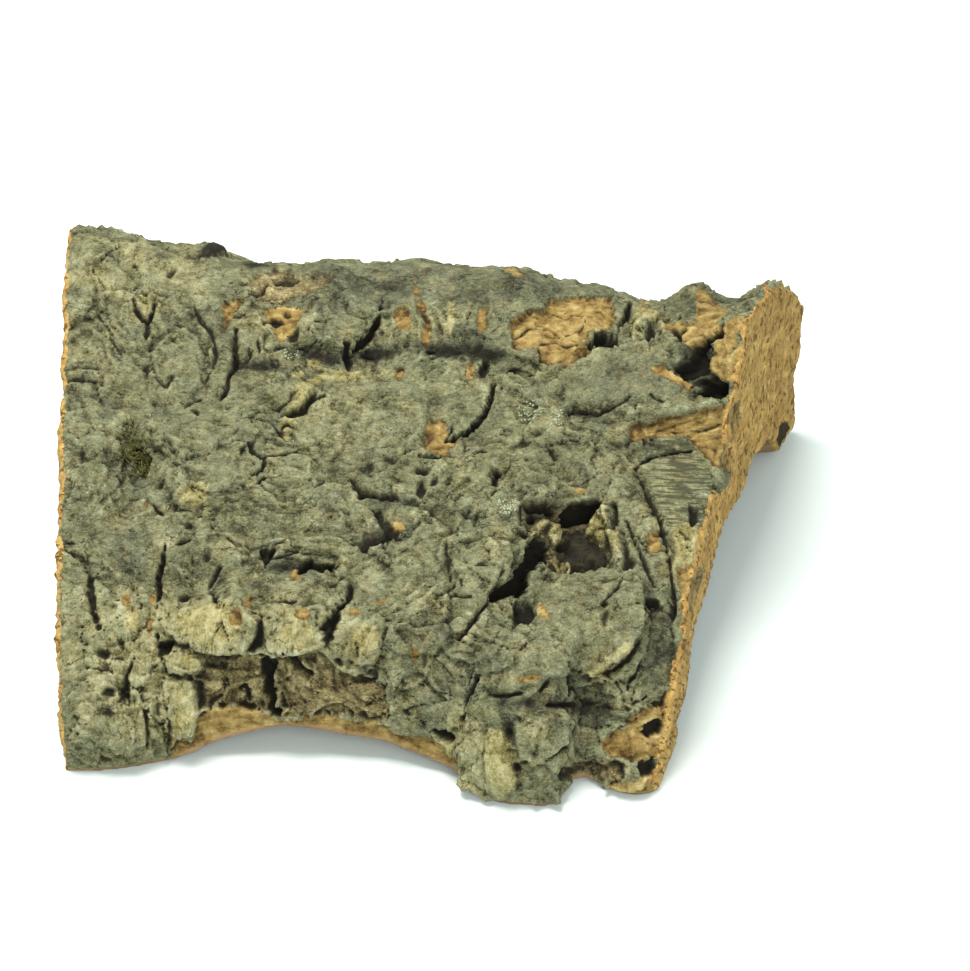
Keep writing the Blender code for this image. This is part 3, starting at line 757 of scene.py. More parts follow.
# Below -1 a share is painted shade, with some dirt, in the grooves, the gully and the pits.
TONES = (  # u, v, length, breadth, turn, share: 1 is the most yellow, -1 the most grey
    (-48, -12, 24, 16, 0, 1),
    (-22, -6, 16, 8, 0, 0.7),
    (8, -26, 7, 12, 0, 0.6),
    (18, -26, 6, 10, 0, 0.2),
    (30, -10, 6, 4, 40, 0.7),
    (-26, 37, 5, 9, -20, 0.5),
    (-10, 42, 14, 4, 0, 0.4),
    (-4, 58, 4, 6, 0, 0.5),
    (-34, 54, 8, 6, 0, 0.5),
    (-60, 58, 4, 5, 0, 0.5),
    (44, 12, 5, 8, 0, 0.3),
    (10, 62, 30, 6, 0, -1.1),
    (-20, 62, 16, 7, 0, -1),
    (36, 42, 12, 7, 0, -0.5),
    (40, -8, 4, 10, 0, -0.7),
    (-36, 34, 10, 8, 0, -0.3),
    (56, 60, 14, 5, 0, -0.4),
    (-64.3, 36.8, 3.4, 2.6, 0, -1.5),
    (-54, 36, 3, 1.6, 0, -1.5),
    (-58, 24, 6, 3, -50, -0.9),
    (-60, 10, 6, 4, -40, -0.9),
    (-48.6, 69.4, 3.6, 1.1, 8, -2.6),
    (-39, 67.6, 3.4, 1, 0, -2.4),
    (-37, 45.7, 5.4, 1.7, 0, -2.2),
    (-25, 47.8, 7, 1.8, -14, -2.4),
    (-13, 48.6, 6, 1.8, 10, -2.4),
    (0, 49, 7, 2, -8, -2.4),
    (9, 48.4, 5, 2, -10, -2),
    (4.6, 51.6, 3, 2.4, 0, -1.6),
    (-66, 66, 20, 8, 0, 0.5),
    (-28, 7, 5, 2.2, -10, -2),
    (-11, 18.6, 5, 1.6, 0, -1.6),
    (-12, 12.6, 6, 1.8, 10, -1.8),
    (15, -16.8, 8, 1.6, -4, -1.6),
    (27, -18.8, 7, 2, -14, -1.6),
    (12.4, -22, 1.6, 5, 4, -1.8),
    (39.6, -4, 3, 6, 10, -0.6),
    (12, 16.4, 2.4, 1.6, 0, -1.7),
    (24, 12, 8, 6, 0, -2),
    (27, 9, 5, 3, 0, -2.6),
    (20, 17.6, 6, 2.4, 0, -1),
    (18.4, 17.6, 4.6, 2, 0, -2),
    (44, 22, 7, 7, 0, 0.2),
    (27, 36.2, 4, 1.2, 0, -1.8),
    (51.6, 41.8, 4, 2, -10, -2.4),
    (50, 49, 4, 4, 40, -2.4),
    (6, -14.6, 1.2, 2.6, -20, -1.6),
    (1, -4.6, 3, 1.6, -40, -1.2),
    (23.6, 52, 3, 1, 20, -0.8),
)
TONE_RANGE = (-2.6, 1)


@dataclass
class Surface:
    """The points that are being sculpted, and what is known of each of them.

    Args:
        points: the places on the smooth CAD shape, in mm.
        normals: the way that each faces, smoothed over a few millimetres.
    """

    points: np.ndarray
    normals: np.ndarray
    height: np.ndarray = field(init=False)
    masks: dict[Mask, np.ndarray] = field(init=False)
    wobble: np.ndarray = field(init=False)

    BEND_SIZE, BEND_REACH = 4.5, 0.6
    WOBBLE_SIZE, WOBBLE_REACH = 1.3, 0.5
    END_DEPTH = 0.9  # how far in from an end's line its sawn face is taken to reach
    ENCLOSED_RIM = 0.7  # how far past enclosed skin the sawn cork is kept back

    def __post_init__(self) -> None:
        """Starts every point level and outside every mask."""
        self.height = np.zeros(len(self.points))
        self.masks = {mask: np.full(len(self.points), FAR_OUTSIDE) for mask in Mask}
        self.wobble = self.BEND_REACH * sample(noise.noise, self.points / self.BEND_SIZE)
        self.wobble += self.WOBBLE_REACH * sample(noise.fractal, self.points / self.WOBBLE_SIZE, 0.6, 2.1, 3)

    def inset(self, line: Path, side: float) -> np.ndarray:
        """How far each point is in from an end, in mm, the end's line being given as (y, x)."""
        ys, xs = zip(*line)
        across = (line[-1][1] - line[0][1]) / (line[-1][0] - line[0][0])
        return side * (np.interp(self.points[:, 1], ys, xs) - self.points[:, 0]) / math.hypot(1, across)

    def sawn(self) -> np.ndarray:
        """How far each point is inside the nearer sawn end's face, in mm, negative outside it."""
        nearer = np.minimum(self.inset(END_LINE_RIGHT, 1), self.inset(END_LINE_LEFT, -1))
        return np.minimum(self.END_DEPTH - nearer, -self.ENCLOSED_RIM - self.masks[Mask.ENCLOSED])

    def underside(self) -> np.ndarray:
        """1 on the underside, 0 on the weathered side."""
        return smooth_step(-self.normals[:, 2], 0.05, 0.45)

    def grain(self) -> np.ndarray:
        """Each point's place along the grain, round the rings and out through them, in mm."""
        y, z = self.points[:, 1] - GRAIN_AXIS[0], self.points[:, 2] - GRAIN_AXIS[1]
        out = np.hypot(y, z)
        return np.stack((self.points[:, 0], np.arctan2(y, z) * out.mean(), out), axis=1)

    def tone(self) -> np.ndarray:
        """How yellow the skin is, 1 at most, how dark and grey, to -1, and below that how much painted shade, with
        some dirt, darkens it.
        """
        uv, facing = FRONT.places(self.points), FRONT.facing(self.normals)
        tone = np.zeros(len(uv))
        for u, v, length, breadth, turn, share in TONES:
            radius = Spot(Mask.PLAIN, 0, u, v, length, breadth, turn).radius(uv)
            tone += share * (1 - smooth_step(radius, 0.2, 1.3)) * facing
        return np.clip(tone, *TONE_RANGE)

    def add(self, chart: Chart, marks: Sequence[Mark]) -> None:
        """Cuts or raises marks on the side that a chart shows.

        Args:
            chart: the chart that the marks are drawn on.
            marks: the marks, in order.
        """
        uv = chart.places(self.points)
        facing = chart.facing(self.normals)
        front = np.flatnonzero(facing > 0)
        for mark in marks:
            rows = front[mark.near(uv[front])]
            if not len(rows):
                continue
            depth_in = mark.inside(uv[rows]) + mark.raggedness() * self.wobble[rows]
            self.height[rows] += mark.height(depth_in, uv[rows]) * facing[rows]
            held = self.masks[mark.mask]
            held[rows] = np.maximum(held[rows], np.where(facing[rows] > 0.5, depth_in, FAR_OUTSIDE))


@dataclass(frozen=True)
class Facets:
    """Broken faces, each flat and tilted its own way, as crumbling bark has.

    Args:
        size: of one face, in mm.
        rise: how far one stands above another, in mm.
        tilt: the slope of the steepest.
        gap: the width of the crack between two, as a share of the size.
        depth: of that crack, in mm.
    """

    size: float
    rise: float
    tilt: float
    gap: float = 0
    depth: float = 0

    HASH = np.array(((12.99, 78.23, 37.72), (39.35, 11.13, 83.16), (73.16, 52.24, 9.15), (26.65, 94.67, 61.4)))
    SPREAD = 437.58  # with the rows above, it gives each face chances of its own

    def height(self, points: np.ndarray) -> np.ndarray:
        """Works out the broken faces.

        Args:
            points: places, in mm.

        Returns:
            The height of the faces at each place.
        """
        scaled = points / self.size
        cells = [noise.voronoi(p) for p in scaled.tolist()]
        nearest = np.array([found[0][:] for _, found in cells])
        chance = np.mod(np.sin(nearest @ self.HASH.T) * self.SPREAD, 1) - 0.5
        height = self.rise * chance[:, 0]
        height += self.tilt * self.size * 2 * ((scaled - nearest) * chance[:, 1:]).sum(axis=1)
        if self.depth:
            border = np.array([distances[1] - distances[0] for distances, _ in cells])
            open_share = smooth_step(chance[:, 1], -0.15, 0.2)
            height -= self.depth * open_share * (1 - smooth_step(border, 0, self.gap))
        return height


@dataclass(frozen=True)
class Layers:
    """Layers that lie over one another, each with a gentle slope and a sharp edge.

    Args:
        size: how far apart two layers' edges wander, in mm.
        rise: how thick one is, in mm.
        count: how many one swell of the noise is cut in.
    """

    size: float
    rise: float
    count: float

    EDGE_SHARE = 0.09

    def height(self, points: np.ndarray) -> np.ndarray:
        """The height of the layers at each place."""
        layer = self.count * sample(noise.noise, points / self.size)
        step = layer - np.floor(layer)
        return self.rise * (smooth_step(step, 0, self.EDGE_SHARE) - step)


@dataclass(frozen=True)
class BarkRelief:
    """The relief that all such bark has: plates, ledges, broken faces and lumps.

    Args: each size is in mm, and each rise is how far that relief moves the skin.
    """

    plates: Facets = Facets(9.5, 0.6, 0.09, 0.035, 0.6)
    chips: Facets = Facets(5.2, 0.25, 0.1, 0.04, 0.22)
    ledges: Layers = Layers(16, 0.75, 5)
    flakes: Layers = Layers(9, 0.3, 3.5)
    flake_shift: float = 40  # so that flakes and ledges don't follow one another
    lump_size: float = 9
    lump_rise: float = 0.5
    grit_size: float = 1.2
    grit_rise: float = 0.07
    bends: tuple[tuple[float, float], ...] = ((2.4, 8), (0.5, 2.4))  # how far, and over what size

    BACK_CALM = 0.3
    CALM = (  # u, v, length, breadth, turn, how much calmer it is
        (34, 43, 14, 6, 0, 0.8),
        (26, -3, 12, 9, -30, 0.85),
        (44, 24, 8, 6, 0, 0.85),
        (-8, 37, 22, 9, 5, 0.7),
        (6, 64, 34, 7, 0, 0.75),
        (-40, 66, 24, 7, 0, 0.6),
        (-60, 38, 8, 6, 0, 0.6),
        (40, -6, 4, 12, 0, 0.7),
        (-56, 12, 9, 8, -40, 0.5),
        (-20, 3, 16, 5, 0, 0.3),
        (-50, 46, 14, 14, 0, 0.5),
        (44, -10, 5, 10, 0, 0.6),
        (18, -24, 12, 12, 0, 0.35),
    )

    def calm(self, surface: Surface) -> np.ndarray:
        """How much of the relief is left at each point, from 0 to 1."""
        uv = FRONT.places(surface.points)
        left = 1 - self.BACK_CALM * BACK.facing(surface.normals)
        for u, v, length, breadth, turn, share in self.CALM:
            radius = Spot(Mask.PLAIN, 0, u, v, length, breadth, turn).radius(uv)
            left *= 1 - share * FRONT.facing(surface.normals) * (1 - smooth_step(radius, 0.6, 1.2))
        return left

    def height(self, surface: Surface) -> np.ndarray:
        """Adds up all of the relief.

        Args:
            surface: the points.

        Returns:
            Its height at each point.
        """
        points = warped = surface.points
        for reach, size in self.bends:
            warped = warped + reach * sample_vector(points / size)
        rough = (
            self.plates.height(warped)
            + self.chips.height(warped)
            + self.ledges.height(warped)
            + self.flakes.height(warped + self.flake_shift)
            + self.lump_rise * sample(noise.fractal, points / self.lump_size, 0.9, 2.1, 2)
        )
        grit = sample(noise.fractal, points / self.grit_size, 0.7, 2, 2)
        return rough * self.calm(surface) + self.grit_rise * grit


@dataclass
class Bark:
    """The piece itself: a fine copy of its CAD solid, sculpted and then thinned.

    Args:
        finish: what it is made of.
        relief: what its skin is like all over.
        torn_layers: the torn cork's own relief, with torn_facets on it.
        edges: pairs of neighbouring points, once the mesh is made.
    """

    finish: "CorkFinish"
    relief: BarkRelief = BarkRelief()
    torn_layers: Layers = Layers(9, 0.4, 3)
    torn_facets: Facets = Facets(3.4, 0.14, 0.07)
    edges: np.ndarray = field(init=False)

    VOXEL, QUICK_VOXEL = 0.42, 0.8
    TRIANGLES = 190_000
    POSITION_ROUNDS, NORMAL_ROUNDS, BLUR_ROUNDS = 5, 26, 14
    TORN_CALM, STRIPED_CALM = 0.75, 0.5  # how much calmer the skin's relief is there
    TORN_BEND, TORN_BEND_SIZE = 1.5, 5
    UNDER_RISE, UNDER_SIZES = 0.5, (22, 3.6, 9)  # ribs along the underside: along, round and out
    SAWN_RISE, SAWN_SIZES = 0.5, (2, 1.4, 3.6)
    SAWN_WAVE, SAWN_WAVE_SIZE = 0.9, 9
    GROUND = (0.2, 2.2)  # nearer the ground than this the relief fades, so that the feet stay flat
    SHADE_RAYS, SHADE_REACH = 10, 8

    def dense_copy(self) -> bpy.types.Object:
        """A closed copy of the CAD node, remeshed in even quads."""
        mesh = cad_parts[NODE].data.copy()
        bm = bmesh.new()
        bm.from_mesh(mesh)
        bmesh.ops.remove_doubles(bm, verts=bm.verts, dist=1e-6)
        bmesh.ops.recalc_face_normals(bm, faces=bm.faces)
        bm.to_mesh(mesh)
        bm.free()
        piece = bpy.data.objects.new("bark_skin", mesh)
        bpy.context.scene.collection.objects.link(piece)
        remesh = piece.modifiers.new("even", "REMESH")
        remesh.mode = "VOXEL"
        remesh.voxel_size = self.VOXEL * MM
        self.apply_modifiers(piece)
        return piece

    @staticmethod
    def apply_modifiers(piece: bpy.types.Object) -> None:
        """Turns a piece's modifiers into plain mesh."""
        depsgraph = bpy.context.evaluated_depsgraph_get()
        mesh = bpy.data.meshes.new_from_object(piece.evaluated_get(depsgraph))
        piece.modifiers.clear()
        piece.data = mesh

    def blur(self, values: np.ndarray, rounds: int) -> np.ndarray:
        """Averages each point's values with its neighbours'.

        Args:
            values: a row for each point.
            rounds: how many times over.

        Returns:
            The smoothed values.
        """
        count = len(values)
        ends = np.concatenate((self.edges[:, 0], self.edges[:, 1]))
        others = np.concatenate((self.edges[:, 1], self.edges[:, 0]))
        degree = np.bincount(ends, minlength=count)
        columns = values.reshape(count, -1).copy()
        for _ in range(rounds):
            for i in range(columns.shape[1]):
                total = np.bincount(ends, weights=columns[others, i], minlength=count)
                columns[:, i] = 0.5 * columns[:, i] + 0.5 * total / degree
        return columns.reshape(values.shape)

    def surface(self, mesh: bpy.types.Mesh) -> Surface:
        """Smooths the mesh and reads it.

        Args:
            mesh: the even mesh, which keeps its smoothed places.

        Returns:
            Its points and normals, both smoothed.
        """
        self.edges = np.empty(len(mesh.edges) * 2, int)
        mesh.edges.foreach_get("vertices", self.edges)
        self.edges = self.edges.reshape(-1, 2)
        scale = self.VOXEL / self.VOXEL
        points, normals = (np.empty(len(mesh.vertices) * 3) for _ in range(2))
        mesh.vertices.foreach_get("co", points)
        points = self.blur(points.reshape(-1, 3) / MM, math.ceil(self.POSITION_ROUNDS * scale))
        mesh.vertices.foreach_set("co", (points * MM).ravel())
        mesh.update()
        mesh.vertices.foreach_get("normal", normals)
        normals = self.blur(normals.reshape(-1, 3), math.ceil(self.NORMAL_ROUNDS * scale))
        return Surface(points, normals / np.linalg.norm(normals, axis=1)[:, None])

    def sculpt(self, surface: Surface) -> None:
        """Works out the height of every point of the surface.

        Args:
            surface: the points, whose height and masks are filled in.
        """
        points, grain = surface.points, surface.grain()
        surface.add(FRONT, FRONT_MARKS)
        surface.add(BACK, BACK_MARKS)
        torn = smooth_step(surface.masks[Mask.TORN], -0.2, 0.4)
        striped = smooth_step(surface.masks[Mask.STRIPED], -0.2, 0.6)
        skin = self.relief.height(surface) * (1 - self.TORN_CALM * torn) * (1 - self.STRIPED_CALM * striped)
        flow = points + self.TORN_BEND * sample_vector(points / self.TORN_BEND_SIZE)
        torn_relief = self.torn_layers.height(flow) + self.torn_facets.height(flow)
        weathered = surface.height + skin + torn * torn_relief
        ribs = self.UNDER_RISE * sample(noise.fractal, grain / self.UNDER_SIZES, 0.8, 2, 4)
        saw_marks = self.SAWN_RISE * sample(noise.fractal, grain / self.SAWN_SIZES, 0.7, 2, 4)
        saw_marks += self.SAWN_WAVE * sample(noise.noise, points / self.SAWN_WAVE_SIZE)
        under = surface.underside()
        on_end = smooth_step(surface.sawn(), -0.5, 0.4)
        off_ground = smooth_step(points[:, 2], *self.GROUND)
        height = weathered * (1 - under) + ribs * off_ground * under
        surface.height = (height * (1 - on_end) + saw_marks * on_end) * (0.25 + 0.75 * off_ground)

    @staticmethod
    def store(mesh: bpy.types.Mesh, name: str, values: np.ndarray) -> None:
        """Writes values to the mesh as a named attribute of its points."""
        kind, key = ("FLOAT_VECTOR", "vector") if values.ndim == 2 else ("FLOAT", "value")
        attribute = mesh.attributes.new(name, kind, "POINT")
        attribute.data.foreach_set(key, values.astype(np.float32).ravel())

    def build(self) -> bpy.types.Object:
        """Makes the whole piece and gives it its finish."""
        piece = self.dense_copy()
        surface = self.surface(piece.data)
        LOG.info("bark: %d points to sculpt", len(surface.points))
        self.sculpt(surface)
        moved = surface.points + surface.normals * surface.height[:, None]
        moved[:, 2] = np.maximum(moved[:, 2], 0)
        piece.data.vertices.foreach_set("co", (moved * MM).ravel())
        carried = {mask.value: surface.masks[mask] for mask in Mask} | {
            # the finish paints shade in the hollows and light on the rises from this
            "relief": surface.height - self.blur(surface.height, self.BLUR_ROUNDS),
            "sawn": surface.sawn() + surface.wobble,
            "under": surface.underside(),
            "grain": surface.grain(),
            "tone": surface.tone(),
        }
        for name, values in carried.items():
            self.store(piece.data, name, values)
        self.thin(piece)
        self.store(piece.data, "shut", self.shut_in(piece))
        piece.data.shade_smooth()
        piece.data.materials.clear()
        piece.data.materials.append(self.finish.material())
        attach(piece, BODY)
        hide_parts(NODE)
        LOG.info("bark: %d triangles", sum(len(p.vertices) - 2 for p in piece.data.polygons))
        return piece

    def shut_in(self, piece: bpy.types.Object) -> np.ndarray:
        """Feels round each point for other bark.

        Args:
            piece: the sculpted bark.

        Returns:
            How shut in each point is, from 0 in the open to 1 deep in a hole; the finish paints shade from it.
        """
        tree = BVHTree.FromObject(piece, bpy.context.evaluated_depsgraph_get())
        rays = []
        for i in range(self.SHADE_RAYS):  # spread evenly over a half ball, but for its rim
            turn, height = (i + 0.5) * math.pi * (3 - math.sqrt(5)), 0.15 + 0.8 * (i + 0.5) / self.SHADE_RAYS
            level = math.sqrt(1 - height * height)
            rays.append(Vector((math.cos(turn) * level, math.sin(turn) * level, height)))
        reach = self.SHADE_REACH * MM
        shut = np.zeros(len(piece.data.vertices))
        for i, vertex in enumerate(piece.data.vertices):
            turn = UP.rotation_difference(vertex.normal)
            start = vertex.co + vertex.normal * 0.1 * MM
            for ray in rays:
                distance = tree.ray_cast(start, turn @ ray, reach)[3]
                if distance is not None:
                    shut[i] += 1 - 0.6 * distance / reach
        return shut / self.SHADE_RAYS

    def thin(self, piece: bpy.types.Object) -> None:
        """Collapses the mesh to the number of triangles that a piece may have."""
        triangles = 2 * len(piece.data.polygons)
        if triangles > self.TRIANGLES:
            collapse = piece.modifiers.new("thin", "DECIMATE")
            collapse.ratio = self.TRIANGLES / triangles
            self.apply_modifiers(piece)


def srgb(code: str) -> tuple[float, float, float, float]:
    """A hex colour as linear red, green, blue and alpha."""
    channels = [int(code[i : i + 2], 16) / 255 for i in (1, 3, 5)]
    linear = [c / 12.92 if c <= 0.04045 else ((c + 0.055) / 1.055) ** 2.4 for c in channels]
    return (linear[0], linear[1], linear[2], 1)


PAIR = (0, 1)
KINDS = {  # what each kind of node is: its type, its settings, the inputs in the order used here, its output
    "place": ("TexCoord", {}, (), "Object"),
    "number": ("Attribute", {}, (), "Fac"),
    "vector": ("Attribute", {}, (), "Vector"),
    "noise": ("TexNoise", {}, ("Vector", "Scale", "Detail", "Roughness"), "Fac"),
    "cells": ("TexVoronoi", {"feature": "F1"}, ("Vector", "Scale"), "Color"),
    "span": ("MapRange", {"clamp": True}, ("Value", "From Min", "From Max", "To Min", "To Max"), "Result"),
    "ramp": ("ValToRGB", {}, ("Fac",), "Color"),
    "mix": ("Mix", {"data_type": "RGBA"}, ("Factor", "A", "B"), "Result"),
    "blend": ("Mix", {"data_type": "FLOAT"}, ("Factor", "A", "B"), "Result"),
    "plus": ("Math", {"operation": "ADD"}, PAIR, 0),
    "minus": ("Math", {"operation": "SUBTRACT"}, PAIR, 0),
    "times": ("Math", {"operation": "MULTIPLY"}, PAIR, 0),
    "larger": ("Math", {"operation": "MAXIMUM"}, PAIR, 0),
    "size": ("Math", {"operation": "ABSOLUTE"}, (0,), 0),
    "shift": ("VectorMath", {"operation": "ADD"}, PAIR, 0),
    "gap": ("VectorMath", {"operation": "SUBTRACT"}, PAIR, 0),
    "stretch": ("VectorMath", {"operation": "MULTIPLY"}, PAIR, 0),
    "bend": ("VectorMath", {"operation": "MULTIPLY_ADD"}, (0, 1, 2), 0),
    "dot": ("VectorMath", {"operation": "DOT_PRODUCT"}, PAIR, "Value"),
    "split": ("SeparateColor", {}, ("Color",), 0),
    "join": ("CombineXYZ", {}, PAIR, 0),
    "bump": ("Bump", {}, ("Strength", "Distance", "Height"), "Normal"),
}


@dataclass
class NodeTree:
    """A new material and its nodes.

    Args:
        name: the material's name.
    """

    name: str
    material: bpy.types.Material = field(init=False)

    def __post_init__(self) -> None:
        """Makes the material."""
        self.material = bpy.data.materials.new(self.name)
        self.material.use_nodes = True

    def add(self, kind: str, *values: object, stops: Stops = (), **settings: object) -> Socket:
        """Adds a node with its settings and links.

        Args:
            kind: which of KINDS it is.
            values: what its inputs get, each a value or the socket that feeds it.
            stops: a colour ramp's places and colours.
            settings: its other properties.

        Returns:
            Its output.
        """
        made_as, fixed, inputs, output = KINDS[kind]
        node = self.material.node_tree.nodes.new("ShaderNode" + made_as)
        for name, value in (fixed | settings).items():
            setattr(node, name, value)
        for name, value in zip(inputs, values):
            self.feed(node.inputs[name], value)
        for i, (place, code) in enumerate(stops):
            elements = node.color_ramp.elements
            element = elements[i] if i < len(elements) else elements.new(1)
            element.position, element.color = place, srgb(code)
        return node.outputs[output]

    def feed(self, socket: Socket, value: object) -> None:
        """Links an input to the socket that feeds it, or sets its value."""
        if isinstance(value, Socket):
            self.material.node_tree.links.new(value, socket)
        else:
            socket.default_value = value

    def total(self, first: object, *others: object) -> Socket:
        """All of them added up."""
        for other in others:
            first = self.add("plus", first, other)
        return first

    def finish(self, **inputs: object) -> bpy.types.Material:
        """Feeds the material's shader, its inputs being named with _ for a space."""
        shader = self.material.node_tree.nodes["Principled BSDF"]
        for name, value in inputs.items():
            self.feed(shader.inputs[name.replace("_", " ")], value)
        return self.material


@dataclass(frozen=True)
class CorkFinish:
    """Virgin cork: grey-green skin that has weathered for years, and orange-brown cork where torn or sawn."""

    skin: Stops = ((0, "#201F15"), (0.28, "#464731"), (0.5, "#65664C"), (0.72, "#797C60"), (1, "#93997C"))
    yellow_skin: Stops = ((0, "#2A2618"), (0.28, "#615E3B"), (0.5, "#827E5B"), (0.72, "#969574"), (1, "#A8A991"))
    grey_skin: Stops = ((0, "#1A1C15"), (0.28, "#3A3B2B"), (0.5, "#565944"), (0.72, "#6A6C55"), (1, "#82876F"))
    brown_skin: Stops = ((0, "#211B10"), (0.28, "#51462B"), (0.5, "#776B47"), (0.72, "#998D66"), (1, "#BBB180"))
    torn: Stops = ((0, "#412E15"), (0.3, "#6E5A30"), (0.55, "#8A7445"), (0.8, "#9D8C59"), (1, "#B2A679"))
    sawn: Stops = ((0, "#61431E"), (0.3, "#8D6E3A"), (0.55, "#A4864C"), (0.8, "#B99B5E"), (1, "#C9B375"))
    belly: Stops = ((0, "#53402B"), (0.5, "#89704F"), (1, "#A9906A"))
    pale: Stops = ((0, "#37331C"), (0.35, "#7B7243"), (0.7, "#A19B70"), (1, "#B3B093"))
    # near black, for dirt and for painted shade in fissures, holes and shut-in hollows
    dirt_and_painted_shade: str = "#191710"
    lenticel: str = "#50341A"
    # painted shade along the rims of the recessed torn patches
    torn_rim_painted_shade: str = "#4A3317"
    stripe: str = "#3F402F"
    roughness: float = 0.92  # dry cork scatters nearly all of its light
    specular: float = 0.2
    bump: float = 0.5  # mm

    NOISE_SPAN = (0.2, 0.8)  # what the noise keeps within
    CARRIED = ("relief", "shut", "tone", "torn", "sawn", "under", "dark", "brown", "pale", "striped")

    def sway(self, tree: NodeTree, value: Socket, low: float, high: float) -> Socket:
        """Noise taken to a range about 0."""
        return tree.add("span", value, *self.NOISE_SPAN, low, high)

    def material(self) -> bpy.types.Material:
        """Builds the nodes.

        Returns:
            The material. Sizes are in mm, as its two coordinates, place and grain, are in mm.
        """
        tree = NodeTree("virgin_cork_weathered_torn_and_sawn")
        add, sway = tree.add, partial(self.sway, tree)
        place = add("stretch", add("place"), (1 / MM, 1 / MM, 1 / MM))
        grain = add("vector", attribute_name="grain")
        carried = {name: add("number", attribute_name=name) for name in self.CARRIED}
        relief, shut = carried["relief"], carried["shut"]

        broad = add("noise", place, 1 / 9, 3, 0.6)  # drifts of algae and lichen, 9 mm
        mottle = add("noise", place, 1 / 3.2, 4, 0.62)  # patches, 3 mm
        crumb = add("noise", place, 1 / 1.1, 5, 0.72)  # crumbs of dead skin, 1 mm
        speck = add("noise", place, 1 / 0.36, 2, 0.7)  # single grains, 0.4 mm
        bent = add("bend", add("noise", place, 0.9, 3).node.outputs["Color"], (1.6, 1.6, 1.6), place)
        flake, flake_shade = self.facets(tree, bent, 2.6)  # flakes of skin, 2.6 mm
        chip, chip_shade = self.facets(tree, bent, 1.1)  # and chips of them, 1.1 mm
        wrinkle = add("noise", add("stretch", bent, (1 / 1.8, 1 / 0.4, 1 / 0.4)), 1, 3, 0.6)  # along, 0.4 mm
        strand = add("noise", add("stretch", bent, (1 / 0.5, 1 / 2.2, 1 / 2.2)), 1, 3, 0.6)  # down, 0.5 mm
        hatch = add("blend", add("span", carried["tone"], 0.2, 0.7), wrinkle, strand)
        hair = self.hair_cracks(tree, place, bent)
        shade = tree.total(
            0.5,
            sway(broad, -0.16, 0.16),
            sway(mottle, -0.24, 0.24),
            sway(crumb, -0.22, 0.22),
            sway(speck, -0.2, 0.2),
            add("span", hatch, 0.25, 0.75, -0.2, 0.2),
            add("span", flake_shade, 0, 1, -0.07, 0.07),
            add("span", chip_shade, 0, 1, -0.05, 0.05),
            # painted shade in the hollows and painted light on the rises, from the relief
            add("span", relief, -0.6, 0.6, -0.14, 0.1),
            # painted shade where the rays find the point shut in
            add("span", shut, 0.05, 0.35, 0.03, -0.12),
            add("times", hair, -0.26),
        )

        skin = self.skin_colour(tree, place, shade, crumb, carried)
        torn, fibre = self.torn_colour(tree, place, grain, relief, crumb, speck)
        torn_edge = tree.total(carried["torn"], sway(crumb, -0.35, 0.35))
        # painted shade: the torn cork darkens toward the rim of its recessed patch
        torn = add("mix", add("span", torn_edge, 0, 0.4, 0.45, 0), torn, srgb(self.torn_rim_painted_shade))
        torn_share = add("span", torn_edge, -0.06, 0.1)
        surface = add("mix", torn_share, skin, torn)

        sawn_edge = tree.total(carried["sawn"], sway(crumb, -0.3, 0.3))
        cork, pores = self.sawn_colour(tree, place, grain, crumb, speck)
        sawn_share = add("span", sawn_edge, 0, 0.2)
        surface = add("mix", sawn_share, surface, cork)

        under = add("minus", carried["under"], add("span", sawn_edge, 0, 0.25))
        belly_grain = add("noise", add("stretch", grain, (1 / 14, 1 / 1.6, 1 / 3)), 1, 4, 0.6)
        stain = add("span", mottle, 0.6, 0.68, 0, 0.5)
        belly = add("mix", stain, add("ramp", belly_grain, stops=self.belly), srgb(self.lenticel))
        surface = add("mix", add("span", under, 0.45, 0.75), surface, belly)

        # painted shade, with some dirt: the fissures and holes go near black
        dark = tree.total(carried["dark"], sway(crumb, -0.4, 0.4))
        surface = add("mix", add("span", dark, -0.05, 0.5, 0, 0.94), surface, srgb(self.dirt_and_painted_shade))
        # painted shade: deep in holes and under brows, where the rays find the point shut in, the colour goes toward
        # near black; the underside is left out
        open_air = add("minus", 1, add("span", carried["under"], 0.3, 0.6))
        deep = add("span", tree.total(shut, sway(crumb, 0.06, -0.06)), 0.3, 0.6)
        surface = add("mix", add("times", add("times", deep, open_air), 0.88), surface, srgb(self.dirt_and_painted_shade))

        weathered = ((crumb, 0.6), (speck, 0.3), (hatch, 0.8), (flake, 0.6), (chip, 0.5), (hair, -0.6))
        bare = ((crumb, 0.6), (fibre, 0.9), (flake, 0.35), (chip, 0.4), (add("times", pores, sawn_share), -0.8))
        kinds = [tree.total(*(add("times", layer, depth) for layer, depth in layers)) for layers in (weathered, bare)]
        grit = add("blend", add("larger", torn_share, sawn_share), *kinds)
        return tree.finish(
            Base_Color=surface,
            Normal=add("bump", 1, self.bump * MM, grit),
            Roughness=add("span", shade, 0.2, 0.9, self.roughness - 0.08, self.roughness + 0.06),
            Specular_IOR_Level=self.specular,
        )

    @staticmethod
    def facets(tree: NodeTree, place: Socket, size: float) -> tuple[Socket, Socket]:
        """Draws broken faces, each tilted its own way.

        Args:
            tree: the material's nodes.
            place: the place, in mm.
            size: how big one face is, in mm.

        Returns:
            Their height in mm, and a shade for each.
        """
        colour = tree.add("cells", place, 1 / size)
        away = tree.add("gap", place, colour.node.outputs["Position"])
        tilt = tree.add("shift", colour, (-0.5, -0.5, -0.5))
        return tree.add("dot", away, tilt), tree.add("split", colour)

